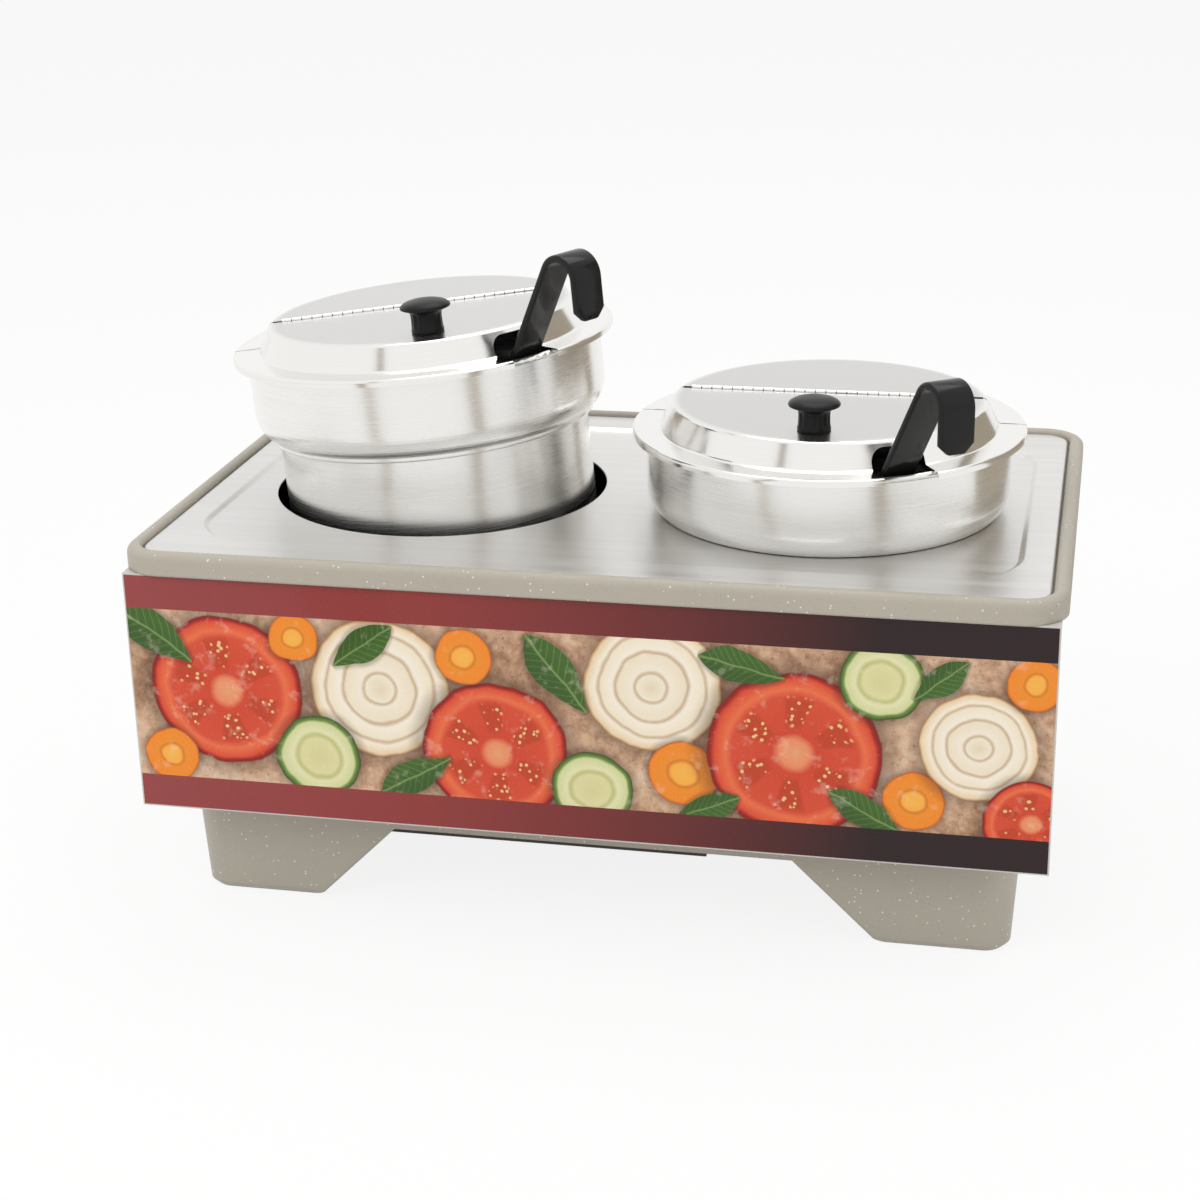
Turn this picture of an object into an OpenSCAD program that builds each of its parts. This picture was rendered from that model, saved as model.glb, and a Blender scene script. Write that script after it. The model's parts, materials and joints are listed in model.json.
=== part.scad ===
// Soup station: a moulded warmer base whose adapter plate carries two covered soup insets,
// each with a flip lid and a ladle. Millimetres, +Z up, front towards -Y, origin on the
// table under the middle of the base. The left inset stands part way out of its hole.

/* [Base shell] */
// Width over the rim
rim_w = 556; // [548:1:580]
// Depth over the rim
rim_d = 348; // [344:1:370]
// Height of the rim above the table
rim_top = 237; // [232:1:250]
// Corner radius of the rim in plan
rim_r = 26; // [22:1:34]
// Height of the lip round the rim
lip_h = 14; // [12:0.5:16]
// Width of the lip
lip_land = 9; // [9:0.5:11]
// Rounding of the lip's outer top edge
lip_round = 5.5; // [3:0.5:5.5]
// Rounding of the lip's inner top edge
lip_round_in = 3; // [1:0.5:3]
// Thickness of the ledge inside the lip
web_t = 8; // [7:0.5:9]
// From the rim's end to the wall under it
wall_in_x = 11.5; // [10:0.5:13]
// From the rim's front to the wall under it
wall_in_y = 22.5; // [20:0.5:25]
// Thickness of the walls
wall_t = 5; // [4:0.5:6]
// Corner radius of the wall at its top
wall_r = 29.5; // [26:0.5:34]
// How far the walls lean in from the lip down to the table
wall_lean = 13.5; // [11:0.5:15]

/* [Legs] */
// Height of the arch between the legs
arch_h = 53; // [48:1:55]
// Width of the front arch at its top
arch_w = 247; // [240:1:260]
// Rounding of the legs' lower edges at the arch
leg_round = 10; // [6:1:12]
// Gap between the control box's flange and the legs
leg_room = 2; // [1:0.5:5]
// How much that depth grows down to the table
leg_flare = 4; // [2:1:6]
// Chamfer round the legs' soles
sole_chamfer = 4; // [2:0.5:5]
// Thickness of the legs' walls
leg_t = 6; // [5.5:0.5:7]
// Thickness of the shell's floor
floor_t = 4; // [3.5:0.5:5]

/* [Well] */
// Sheet thickness of the well
well_t = 1.2; // [1:0.1:1.5]
// Depth of the well under its flange
well_depth = 158; // [154:1:158]
// Gap between the well's wall and the shell
well_gap = 1.8; // [1:0.1:2.5]
// How far the well's walls lean in at the floor
well_lean = 14; // [11:1:18]
// Corner radius of the well's mouth
well_r = 40; // [34:1:48]

/* [Adapter plate] */
// Sheet thickness of the plate
plate_t = 1.5; // [1.2:0.1:2]
// Gap between the plate and the lip
plate_gap = 1; // [0.5:0.1:1.5]
// Height of the plate's border over the well's flange
edge_h = 2.3; // [2.2:0.1:3]
// Depth of the pressed field under the border
field_h = 2.2; // [1.6:0.1:2.2]
// Width of the border at the ends
border_x = 18; // [16:1:22]
// Width of the border at front and back
border_y = 28; // [26:1:32]
// Corner radius of the pressed field
field_r = 45; // [35:1:55]
// Width of the slope round the field
slope_w = 3; // [2:0.5:5]
// Bend radius of the plate's turned edge
edge_r = 2.5; // [2:0.1:3]
// Distance between the two holes
pot_pitch = 249; // [246:1:254]

/* [Insets] */
// Sheet thickness of the insets
pot_t = 1.2; // [1:0.1:1.5]
// Outer radius of an inset's lower wall
pot_r = 99; // [96:0.5:100]
// Radial room between the lower wall and its hole
hole_room = 7; // [6.5:0.1:8]
// Depth of an inset under the plate
pot_depth = 150; // [140:1:150]
// Bottom corner radius of an inset
pot_corner = 18; // [12:1:24]
// Width of the ledge over the lower wall
ledge_w = 5; // [4:0.5:5.5]
// Height of the step over the ledge
ledge_h = 3; // [3:0.5:4]
// Outer radius of the band
band_r = 112; // [110:0.5:114]
// Radius of the shoulder under the band
shoulder_r = 18; // [16:1:20]
// Height of the inset's rim over the plate
pot_h = 50.4; // [46:0.2:56]
// Radius of the rolled rim
bead_r = 2; // [1.6:0.1:2.4]
// Gap between a seated inset and its hole
seat_gap = 0.3; // [0.2:0.05:0.4]

/* [Lids] */
// Sheet thickness of the lids
lid_t = 1; // [0.8:0.1:1.2]
// How far the lid's flange reaches past the band
lid_over = 9; // [8:0.5:10]
// Drop of the flange's turned edge
lid_drop = 4; // [3:0.5:5]
// Radius of the lid's wall at the flange
lid_foot_r = 104; // [102:0.5:105]
// Radius of the lid's flat top
lid_top_r = 96; // [94:0.5:97]
// Rise of the flat top over the flange
lid_rise = 15.5; // [14:0.5:18]
// Gap between a lid and the rim under it
lid_gap = 0.3; // [0.2:0.05:0.4]
// Distance of the hinge behind the lid's middle
hinge_y = 13; // [12:1:24]
// Radius of the hinge knuckles
knuckle_r = 1.6; // [1.4:0.1:2]
// Radius of the hinge pin
pin_r = 0.8; // [0.6:0.05:0.9]
// Radial clearance of the hinge pin
pin_play = 0.05; // [0.03:0.01:0.08]
// Length of one knuckle with its gap
knuckle_pitch = 6.5; // [5:0.5:9]
// Gap between neighbouring knuckles
knuckle_gap = 0.65; // [0.3:0.05:0.8]
// Width of the hinge leaves
leaf_w = 12; // [8:1:16]
// Thickness of the hinge leaves
leaf_t = 0.8; // [0.6:0.1:1]
// Gap between the lid's halves and the knuckles
leaf_gap = 0.4; // [0.3:0.1:0.6]
// Gap between the lid's halves at the wall and the flange
slit = 1.2; // [1:0.1:2]
// Distance of the lid's knob in front of its middle
knob_y = 70; // [64:1:78]
// Radius of the knob's head
knob_r = 15.5; // [14:0.5:19]
// Radius of the knob's foot
knob_foot_r = 10; // [9:0.5:12]
// Height of the knob
knob_h = 20; // [18:0.5:24]
// Radius of the knob's screw
knob_screw_r = 2; // [1.5:0.1:2.5]
// Radial clearance round a screw
screw_play = 0.1; // [0.05:0.05:0.2]
// Direction of the ladle's notch from the front
notch_dir = 30.5; // [30:0.25:31]
// Width of the ladle's notch
notch_w = 33.5; // [33:0.5:36]
// Distance of the notch's inner end from the lid's middle
notch_in = 92; // [88:1:94]
// Depth of the notch's top under the lid's flat top
notch_under = 3.4; // [3.2:0.1:5]
// Radius of the notch's upper corners
notch_r = 9; // [6:0.5:11]

/* [Ladles] */
// Lean of the handle from upright
ladle_lean = 32.6; // [31:0.2:34]
// Direction of the handles from the front
ladle_dir = 36.5; // [36:0.25:37]
// How far the left handle stands to the side of the inset's middle
left_ladle_side = -9; // [-11:0.2:-9]
// How far the right handle stands to the side of the inset's middle
right_ladle_side = -13; // [-14:0.2:-11]
// Length of the handle from the bowl's rim to the hook
ladle_len = 285; // [284:0.2:290]
// Gap between a handle and the inset's rim
rim_gap = 1.2; // [0.8:0.1:2]
// Radius of the hook's bend
hook_r = 12.5; // [11:0.5:14]
// Length of the hook's drop
hook_drop = 24.4; // [24:0.2:30]
// Width of the steel strip
strip_w = 19; // [17:0.5:20]
// Thickness of the steel strip
strip_t = 2; // [1.6:0.1:2.4]
// Width of the grip
grip_w = 22.8; // [22:0.2:23]
// Thickness of the grip
grip_t = 4.4; // [4:0.1:5]
// Length of the grip under the hook
grip_len = 78; // [70:1:90]
// Length of the grip past the strip's end in the hook
grip_over = 7; // [6.6:0.2:10]
// Size of the cut corners at the grip's tip
tip_cut = 6; // [3:0.5:6]
// Room between the grip and the strip
grip_play = 0.1; // [0.05:0.05:0.2]
// Outer radius of the ladle's bowl
bowl_r = 36; // [33:0.5:38]
// Sheet thickness of the bowl
bowl_t = 1.2; // [1:0.1:1.5]
// Half angle of the flat under the bowl
bowl_flat = 8; // [5:1:12]
// Length of the strip below the bowl's rim
strip_lap = 10; // [8:0.5:14]
// Gap between the bowl and the inset's floor
bowl_gap = 0.4; // [0.3:0.1:0.6]
// Gap between the strip and the bowl where they are welded
weld_gap = 0.05; // [0.02:0.01:0.1]

/* [Left inset as it stands] */
// Height of the left inset over its seat
left_lift = 47; // [44:0.5:55]
// Tilt of the left inset, right side up
left_tilt = 4.6; // [3:0.1:5]
// Direction in which it leans on its hole
left_lean_dir = 114; // [90:1:140]
// Gap between it and the hole's edge
left_gap = 0.3; // [0.2:0.05:0.5]
// Turn of its lid and ladle about its axis
left_turn = 20.5; // [10:0.5:26]

/* [Front panel] */
// Width of the panel
panel_w = 549; // [530:1:552]
// Height of the panel
panel_h = 151.5; // [140:0.5:156]
// Sheet thickness of the panel
panel_t = 1.5; // [1:0.1:2]
// From the rim's front back to the panel's face
panel_in = 2.7; // [2:0.1:4]
// Depth of the panel's top flange
panel_flange = 16; // [14:0.5:17]
// Thickness of the printed film
film_t = 0.3; // [0.2:0.05:0.4]
// Bare margin round the film
film_margin = 1; // [0.5:0.1:2]
// Distance between the outer panel screws
panel_screw_pitch = 400; // [360:10:440]
// Distance between the lower bumpers
bumper_pitch = 360; // [320:10:400]
// Height of the bumpers above the table
bumper_z = 96; // [88:1:104]
// Radius of the bumpers
bumper_r = 9; // [7:0.5:11]
// From the panel back to the pads that carry the bumpers
bumper_l = 16; // [14:0.5:18]

/* [Heating] */
// Radius of the heating rod
rod_r = 4.2; // [3.8:0.1:4.3]
// Half the distance between the rod's two runs
rod_y = 55; // [50:1:62]
// Where the rod's right bend starts
rod_right = 130; // [110:1:150]
// Where the rod's left bends start
rod_left = 112; // [105:1:116]
// Bend radius at the rod's left end
rod_bend = 18; // [16:1:20]
// Bend radius of the rod's legs
rod_drop_bend = 10; // [9:0.5:11]
// Length of the rod's legs into the control box
rod_leg = 14; // [10:1:16]
// Clearance over and under the rod
rod_gap = 0.1; // [0.05:0.05:0.15]
// Places of the straps along the rod
strap_pitch = 85; // [75:1:90]
// Width of a strap
strap_w = 16; // [12:1:20]
// Thickness of a strap
strap_t = 1.2; // [1:0.1:1.4]
// How far a strap reaches past the rod
strap_over = 10; // [8:1:14]
// Radius of the well's studs
stud_r = 2.5; // [2:0.1:3]
// Height of the stud nuts
nut_h = 2.4; // [2:0.1:2.6]
// Width across the flats of the stud nuts
nut_af = 8; // [7:0.5:9]
// Sheet thickness of the heat shield
shield_t = 0.8; // [0.6:0.1:1]
// Height of the heat shield over the shell's floor
shield_h = 2; // [1.6:0.1:2]
// Gap between the heat shield and the shell's ends
shield_gap_x = 31.4; // [26:0.2:40]
// Gap between the heat shield and the shell's front and back
shield_gap_y = 18.4; // [16:0.2:22]

/* [Control box] */
// Sheet thickness of the box
box_t = 1.2; // [1:0.1:1.5]
// Height of the box
box_h = 33; // [32:0.5:35]
// Depth of the box
box_d = 160; // [156:1:162]
// Right end of the box
box_right = 61; // [55:1:66]
// Left end of the box
box_left = 172; // [168:1:174]
// Width of the box's flange
box_flange = 10; // [9:0.5:10.5]
// Radius of the box screws
screw_r = 1.9; // [1.6:0.1:2.1]
// Radius of the screw heads
head_r = 3.8; // [3.5:0.1:4.2]
// Height of the screw heads
head_h = 2.4; // [2:0.1:2.8]
// Height of the controls above the box's bottom
control_z = 16; // [15.5:0.1:16.5]
// Place of the thermostat along the box
thermo_x = -40; // [-46:1:-36]
// Width of the thermostat
thermo_w = 34; // [30:1:36]
// Depth of the thermostat
thermo_d = 22; // [20:1:26]
// Height of the thermostat
thermo_h = 24; // [20:1:25]
// Radius of the thermostat's bushing
bush_r = 4.5; // [4:0.1:5]
// Radius of the thermostat's shaft
shaft_r = 3; // [2.5:0.1:3.2]
// Radial clearance of the dial on its shaft
dial_play = 0.05; // [0.03:0.01:0.08]
// Radius of the dial
dial_r = 13; // [11:0.5:14]
// Depth of the dial
dial_d = 15; // [12:0.5:16]
// Gap between the dial and the box
dial_gap = 1; // [0.8:0.1:1.5]
// Radius of the thermostat's bulb
bulb_r = 4.2; // [3.8:0.1:4.3]
// Length of the bulb
bulb_l = 80; // [60:1:90]
// Distance of the bulb behind the well's middle line
bulb_y = 25; // [22:1:30]
// Radius of the capillary
cap_r = 1; // [0.8:0.1:1.2]
// Bend radius of the capillary
cap_bend = 8; // [6:0.5:9]
// Place of the switch along the box
switch_x = 6; // [2:1:10]
// Width of the switch's frame
switch_w = 25; // [23:0.5:27]
// Height of the switch's frame
switch_h = 16; // [14:0.5:18]
// Width of the switch's frame round its opening
switch_rim = 3; // [2.5:0.1:3.5]
// Thickness of the switch's frame
switch_rim_t = 1.6; // [1.2:0.1:2]
// Depth of the switch's housing in the box
switch_d = 16; // [14:0.5:20]
// Radius of the rocker about its pivot
rocker_r = 8.4; // [8:0.1:8.6]
// Tilt of the rocker's two faces
rocker_tilt = 12; // [10:1:14]
// Radius of the rocker's pivots
rocker_pin_r = 1.5; // [1.2:0.1:1.8]
// Radial clearance of the rocker's pivots
rocker_play = 0.05; // [0.03:0.01:0.08]
// Gap round the rocker
rocker_gap = 0.4; // [0.3:0.05:0.5]
// Place of the pilot lamp along the box
lamp_x = 38; // [34:1:42]
// Radius of the pilot lamp's lens
lamp_r = 6; // [5:0.5:7]
// Radius of the pilot lamp's body
lamp_body_r = 4; // [3:0.1:4.5]
// Depth of the pilot lamp's body
lamp_d = 22; // [16:1:26]
// Place of the cord gland along the box
gland_x = -130; // [-136:1:-124]
// Outer radius of the gland's body
gland_r = 7; // [6:0.5:8]
// Radius of the gland's bore
gland_bore = 4; // [3:0.1:4.5]
// Length of the gland outside the box
gland_out = 10; // [8:0.5:14]
// Length of the gland inside the box
gland_in = 10; // [8:0.5:12]
// Width of the terminal block
term_w = 44; // [36:1:50]
// Depth of the terminal block
term_d = 20; // [16:1:24]
// Height of the terminal block
term_h = 13; // [10:0.5:15]
// Place of the terminal block along the box
term_x = -80; // [-86:1:-72]

/* [Hidden] */
$fn = 48;
eps = 0.01;
far = 2 * rim_w;
// Levels above the table
lip_z = rim_top - lip_h;
ledge_z = lip_z + web_t;
flange_z = ledge_z + well_t;
border_z = flange_z + edge_h;
plate_z = border_z - field_h;
well_floor = flange_z - well_depth;
well_under = well_floor - well_t;
floor_top = arch_h + floor_t;
rod_z = well_under - rod_gap - rod_r;
strap_top = rod_z - rod_r - rod_gap;
shield_z = floor_top + shield_h;
box_z = arch_h - box_h;
control_h = box_z + control_z;
// Corner centres of the wall, the lip and the well in plan
wall_cx = rim_w / 2 - wall_in_x - wall_r;
wall_cy = rim_d / 2 - wall_in_y - wall_r;
lip_cx = rim_w / 2 - rim_r;
lip_cy = rim_d / 2 - rim_r;
leg_gap = box_d + 2 * (box_flange + leg_room);
// Half sizes of the heat shield on the shell's floor
shield_x = wall_cx + wall_at(floor_top) - wall_t - shield_gap_x;
shield_y = wall_cy + wall_at(floor_top) - wall_t - shield_gap_y;
mouth_x = rim_w / 2 - wall_in_x - wall_t - well_gap - well_t;
mouth_y = rim_d / 2 - wall_in_y - wall_t - well_gap - well_t;
// Half sizes of what lies inside the lip
seat_x = rim_w / 2 - lip_land - plate_gap;
seat_y = rim_d / 2 - lip_land - plate_gap;
seat_r = rim_r - lip_land - plate_gap;
field_cx = seat_x - border_x - field_r;
field_cy = seat_y - border_y - field_r;
// Insets: the hole, the ledge and the shoulder that sits on the hole's edge
hole_r = pot_r + hole_room;
ledge_r = pot_r + ledge_w;
shoulder_at = band_r - shoulder_r;
shoulder_z = sqrt(pow(shoulder_r, 2) - pow(hole_r - shoulder_at, 2)) + seat_gap;
ledge_a = -acos((ledge_r - shoulder_at) / shoulder_r);
ledge_z0 = shoulder_z + shoulder_r * sin(ledge_a) - ledge_h;
// Lids, hinge and ladles in an inset's own frame
lid_z = pot_h + lid_gap + lid_t;
lid_top_z = lid_z + lid_rise;
lid_r = band_r + lid_over;
half_gap = knuckle_r + leaf_gap;
hinge_half = sqrt(pow(lid_top_r, 2) - pow(hinge_y, 2)) - 3;
leaf_r = lid_top_r - 4;
knuckles = 2 * floor((hinge_half * 2 / knuckle_pitch - 1) / 2) + 1;
pin_l = knuckles * knuckle_pitch;
bowl_off = bowl_r + strip_t / 2 + weld_gap;
hook_z = -pot_depth + pot_t + bowl_gap + bowl_r - bowl_off * sin(ladle_lean) + ladle_len * cos(ladle_lean);
hook_turn = 180 - ladle_lean;
notch_top = lid_top_z - notch_under;
// Where the left inset leans
lean_room = hole_room - left_gap - pot_r * (1 / cos(left_tilt) - 1) * pow(cos(left_lean_dir), 2);
left_x = -pot_pitch / 2 + lean_room * cos(left_lean_dir);
left_y = lean_room * sin(left_lean_dir);
// Panel, its screws and its bumpers
panel_y = -rim_d / 2 + panel_in;
panel_screw_y = panel_y + panel_flange * 0.6;
bumper_y = panel_y + panel_t + bumper_l;
box_back = box_d / 2;
box_screw_y = box_back + box_flange / 2;
rocker_y = box_back - 1;

// Plan and profile helpers

// A rectangle with round corners
module rrect(hx, hy, r) {
    square([2 * hx, 2 * (hy - r)], center = true);
    square([2 * (hx - r), 2 * hy], center = true);
    for (x = [-1, 1], y = [-1, 1])
        translate([x * (hx - r), y * (hy - r)]) circle(r);
}

// A slab with that outline
module slab(hx, hy, r, z0, z1)
    translate([0, 0, z0]) linear_extrude(z1 - z0) rrect(hx, hy, r);

// A block with round corners, given by its corner centres and a profile of [radius, z] points
module lean_block(cx, cy, p)
    hull() for (q = p, x = [-1, 1], y = [-1, 1])
        translate([x * cx, y * cy, min(q[1], p[len(p) - 1][1] - eps)]) cylinder(r = q[0], h = eps, $fn = 32);

// Sweeps a profile round a rectangle with the given corner centres
module ring_sweep(cx, cy) {
    for (i = [0:3])
        translate([(i == 0 || i == 3 ? 1 : -1) * cx, (i < 2 ? 1 : -1) * cy, 0])
            rotate([0, 0, 90 * i]) rotate_extrude(angle = 90) children();
    for (i = [0, 1]) rotate([0, 0, 180 * i]) {
        translate([cx, cy, 0]) rotate([90, 0, 0]) linear_extrude(2 * cy) children();
        translate([-cx, cy, 0]) rotate([90, 0, 90]) linear_extrude(2 * cx) children();
    }
}

// Left-hand unit normal of a segment
function side(a, b) = [a[1] - b[1], b[0] - a[0]] / norm(b - a);

// A line moved sideways by t
function shifted(p, t) = [for (i = [0:len(p) - 1])
    let (a = i == 0 ? side(p[0], p[1]) : side(p[i - 1], p[i]),
         b = i == len(p) - 1 ? a : side(p[i], p[i + 1]), m = a + b)
    p[i] + m * (2 * t / (m * m))];

// The outline of a sheet of thickness t along a line
function sheet(p, t) = let (q = shifted(p, t))
    concat(p, [for (i = [len(q) - 1:-1:0]) q[i]]);

// Points of an arc
function arc(c, r, a0, a1, n) = [for (i = [0:n])
    let (a = a0 + (a1 - a0) * i / n) c + r * [cos(a), sin(a)]];

// The corner at p between a and b, rounded with radius r in n steps
function fillet(a, p, b, r, n) =
    let (u = (a - p) / norm(a - p), v = (b - p) / norm(b - p), h = acos(u * v) / 2,
         c = p + (u + v) / norm(u + v) * r / sin(h),
         s = p + u * r / tan(h) - c, e = p + v * r / tan(h) - c,
         a0 = atan2(s[1], s[0]), d = atan2(e[1], e[0]) - a0,
         w = d > 180 ? d - 360 : d < -180 ? d + 360 : d)
    arc(c, r, a0, a0 + w, n);

// A line of [x, z, radius] points with its corners rounded
function rounded(p, n = 5) = [for (i = [0:len(p) - 1])
    let (q = [p[i][0], p[i][1]])
    each (p[i][2] == 0 ? [q] :
        fillet([p[i - 1][0], p[i - 1][1]], q, [p[i + 1][0], p[i + 1][1]], p[i][2], n))];

// Places the children on the right inset's seat
module at_right() translate([pot_pitch / 2, 0, plate_z]) children();

// Places the children in the left inset as it stands
module at_left()
    translate([left_x, left_y, plate_z]) rotate([0, -left_tilt, 0])
        translate([0, 0, left_lift]) children();

// Places the children on the left inset, turned with its lid
module at_left_lid() at_left() rotate([0, 0, left_turn]) children();

// How far out the hook of a handle starts, so that the handle just clears the inset's rim
function hook_at(aside) = sqrt(pow(band_r - pot_t - rim_gap, 2) - pow(abs(aside) + grip_w / 2, 2))
    - grip_t / 2 / cos(ladle_lean) + tan(ladle_lean) * (hook_z - pot_h);

// Places the children along a ladle: y up the handle, x out from the inset
module on_ladle(aside)
    rotate([0, 0, ladle_dir - 90]) translate([hook_at(aside), aside, hook_z])
        rotate([90, ladle_lean, 0]) children();

// Base shell

// The clear space between the legs, seen from the front
module arch_profile() {
    w1 = arch_w / 2;
    w0 = w1 + arch_h;
    k = leg_round * tan(22.5);
    polygon([[-w0, 0], [w0, 0], [w1, arch_h], [-w1, arch_h]]);
    polygon([[-w0, eps], [w0, eps], [w0, -arch_h], [-w0, -arch_h]]);
    for (s = [-1, 1]) difference() {
        polygon([[s * w0, 0], [s * (w0 + k), 0], [s * (w0 - k * cos(45)), k * sin(45)]]);
        translate([s * (w0 + k), leg_round]) circle(leg_round);
    }
}

// The clear space between the legs, seen from the end
module side_profile()
    polygon([[-leg_gap / 2 - leg_flare, -eps], [leg_gap / 2 + leg_flare, -eps],
             [leg_gap / 2, arch_h], [-leg_gap / 2, arch_h]]);

// The hollows in the legs
module leg_hollows() {
    k = arch_w / 2 + arch_h + leg_t * sqrt(2);
    g = leg_gap / 2 + leg_t;
    intersection() {
        wall_block(leg_t, leg_t, floor_top + floor_t);
        for (s = [-1, 1]) translate([0, far / 2, 0]) rotate([90, 0, 0]) linear_extrude(far)
            polygon([[s * (k - leg_t), 0], [s * far, 0], [s * far, far],
                     [s * (k - floor_top), far], [s * (k - floor_top), floor_top], [s * (k - leg_t), leg_t]]);
        for (s = [-1, 1]) translate([-far / 2, 0, 0]) rotate([90, 0, 90]) linear_extrude(far)
            polygon([[s * (g + leg_flare), 0], [s * far, 0], [s * far, far], [s * g, far],
                     [s * g, arch_h]]);
    }
}

// Radius of the wall's corners at a height
function wall_at(z) = wall_r - wall_lean * (lip_z - z) / lip_z;

// The leaning walls as a block, drawn in by a thickness
module wall_block(t, z0, z1)
    lean_block(wall_cx, wall_cy, [[wall_at(z0) - t, z0], [wall_at(z1) - t, z1]]);

// The lip in section
module lip_profile()
    polygon(rounded([[rim_r - lip_land / 2, lip_z, 0], [rim_r, lip_z, 0], [rim_r, rim_top, lip_round],
                     [rim_r - lip_land, rim_top, lip_round_in], [rim_r - lip_land, lip_z, 0]]));

module base_shell() color([0.55, 0.52, 0.47]) {
    ring_sweep(lip_cx, lip_cy) lip_profile();
    difference() {
        union() {
            slab(rim_w / 2 - lip_land / 2, rim_d / 2 - lip_land / 2, rim_r - lip_land / 2, lip_z, ledge_z);
            lean_block(wall_cx, wall_cy, [[wall_at(sole_chamfer) - sole_chamfer, 0],
                                          [wall_at(sole_chamfer), sole_chamfer],
                                          [wall_at(lip_z), lip_z + web_t / 2]]);
            for (s = [-1, 1]) translate([s * bumper_pitch / 2, bumper_y, bumper_z])
                rotate([-90, 0, 0]) cylinder(r = bumper_r, h = wall_pad_l());
        }
        wall_block(wall_t, floor_top, ledge_z + eps);
        translate([0, far / 2, 0]) rotate([90, 0, 0]) linear_extrude(far) arch_profile();
        translate([-far / 2, 0, 0]) rotate([90, 0, 90]) linear_extrude(far) side_profile();
        leg_hollows();
        translate([-box_left, -box_back, arch_h - eps])
            cube([box_left + box_right, box_d, floor_t + 2 * eps]);
        for (p = box_screw_places()) translate([p[0], p[1], arch_h - eps])
            cylinder(r = screw_r + screw_play, h = floor_t + 2 * eps);
        for (x = panel_screw_places()) translate([x, panel_screw_y, lip_z - eps])
            cylinder(r = screw_r + screw_play, h = web_t - 1);
    }
}

// Depth of a bumper pad, from its face into the leaning wall
function wall_pad_l() = (-rim_d / 2 + wall_in_y + wall_lean * (lip_z - bumper_z) / lip_z) - bumper_y
    + wall_t / 2;

function panel_screw_places() = [-panel_screw_pitch / 2, 0, panel_screw_pitch / 2];

function box_screw_places() = [for (x = [-box_left + 25, (box_right - box_left) / 2, box_right - 25],
    y = [-box_screw_y, box_screw_y]) [x, y]];

// Well and heating

module well_pan() color([0.16, 0.16, 0.17]) {
    cx = mouth_x - well_r;
    cy = mouth_y - well_r;
    ring_sweep(cx, cy)
        polygon([[well_r, flange_z], [well_r + well_t, flange_z],
                 [well_r - well_lean + well_t, well_under], [well_r - well_lean, well_under]]);
    slab(mouth_x - well_lean + well_t / 2, mouth_y - well_lean + well_t / 2,
         well_r - well_lean + well_t / 2, well_under, well_floor);
    difference() {
        slab(seat_x, seat_y, seat_r, ledge_z, flange_z);
        slab(mouth_x + well_t / 2, mouth_y + well_t / 2, well_r + well_t / 2,
             ledge_z - eps, flange_z + eps);
    }
    for (x = strap_places()) translate([x, 0, strap_top - strap_t - nut_h])
        cylinder(r = stud_r, h = well_under - strap_top + strap_t + nut_h + eps);
}

function strap_places() = [-strap_pitch, 0, strap_pitch];

module heat_shield() color([0.7, 0.71, 0.72]) difference() {
    slab(shield_x, shield_y, wall_r / 2, floor_top, shield_z);
    slab(shield_x - shield_t, shield_y - shield_t, wall_r / 2 - shield_t, floor_top - eps, shield_z - shield_t);
    for (s = [-1, 1]) translate([-rod_left - rod_bend, s * rod_leg_y(), 0])
        cylinder(r = rod_r + 2, h = far);
    translate([thermo_x, bulb_y, 0]) cylinder(r = cap_r + 2, h = far);
}

// Distance of the rod's legs from the middle line
function rod_leg_y() = rod_y - rod_bend - rod_drop_bend;

module heating_rod() color([0.35, 0.34, 0.33]) {
    translate([0, 0, rod_z]) {
        for (s = [-1, 1]) translate([-rod_left, s * rod_y, 0])
            rotate([0, 90, 0]) cylinder(r = rod_r, h = rod_left + rod_right);
        translate([rod_right, 0, 0]) rotate([0, 0, -90])
            rotate_extrude(angle = 180) translate([rod_y, 0]) circle(rod_r);
        translate([-rod_left, rod_y - rod_bend, 0]) rotate([0, 0, 90])
            rotate_extrude(angle = 90) translate([rod_bend, 0]) circle(rod_r);
        translate([-rod_left, -rod_y + rod_bend, 0]) rotate([0, 0, 180])
            rotate_extrude(angle = 90) translate([rod_bend, 0]) circle(rod_r);
        for (s = [-1, 1]) translate([-rod_left - rod_bend, s * (rod_y - rod_bend), 0]) {
            rotate([0, 0, s > 0 ? -90 : 90]) translate([0, 0, -rod_drop_bend])
                rotate([90, 0, 0]) rotate_extrude(angle = 90) translate([rod_drop_bend, 0]) circle(rod_r);
            translate([0, -s * rod_drop_bend, -rod_drop_bend - rod_leg]) cylinder(r = rod_r, h = rod_leg);
        }
    }
}

module rod_straps() color([0.72, 0.72, 0.72])
    for (x = strap_places()) translate([x, 0, strap_top - strap_t]) difference() {
        translate([-strap_w / 2, -rod_y - rod_r - strap_over, 0])
            cube([strap_w, 2 * (rod_y + rod_r + strap_over), strap_t]);
        translate([0, 0, -eps]) cylinder(r = stud_r + screw_play, h = strap_t + 2 * eps);
    }

module strap_nuts() color([0.75, 0.75, 0.76])
    for (x = strap_places()) translate([x, 0, strap_top - strap_t - nut_h]) difference() {
        cylinder(r = nut_af / sqrt(3), h = nut_h, $fn = 6);
        translate([0, 0, -eps]) cylinder(r = stud_r + screw_play, h = nut_h + 2 * eps);
    }

// Control box

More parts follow.
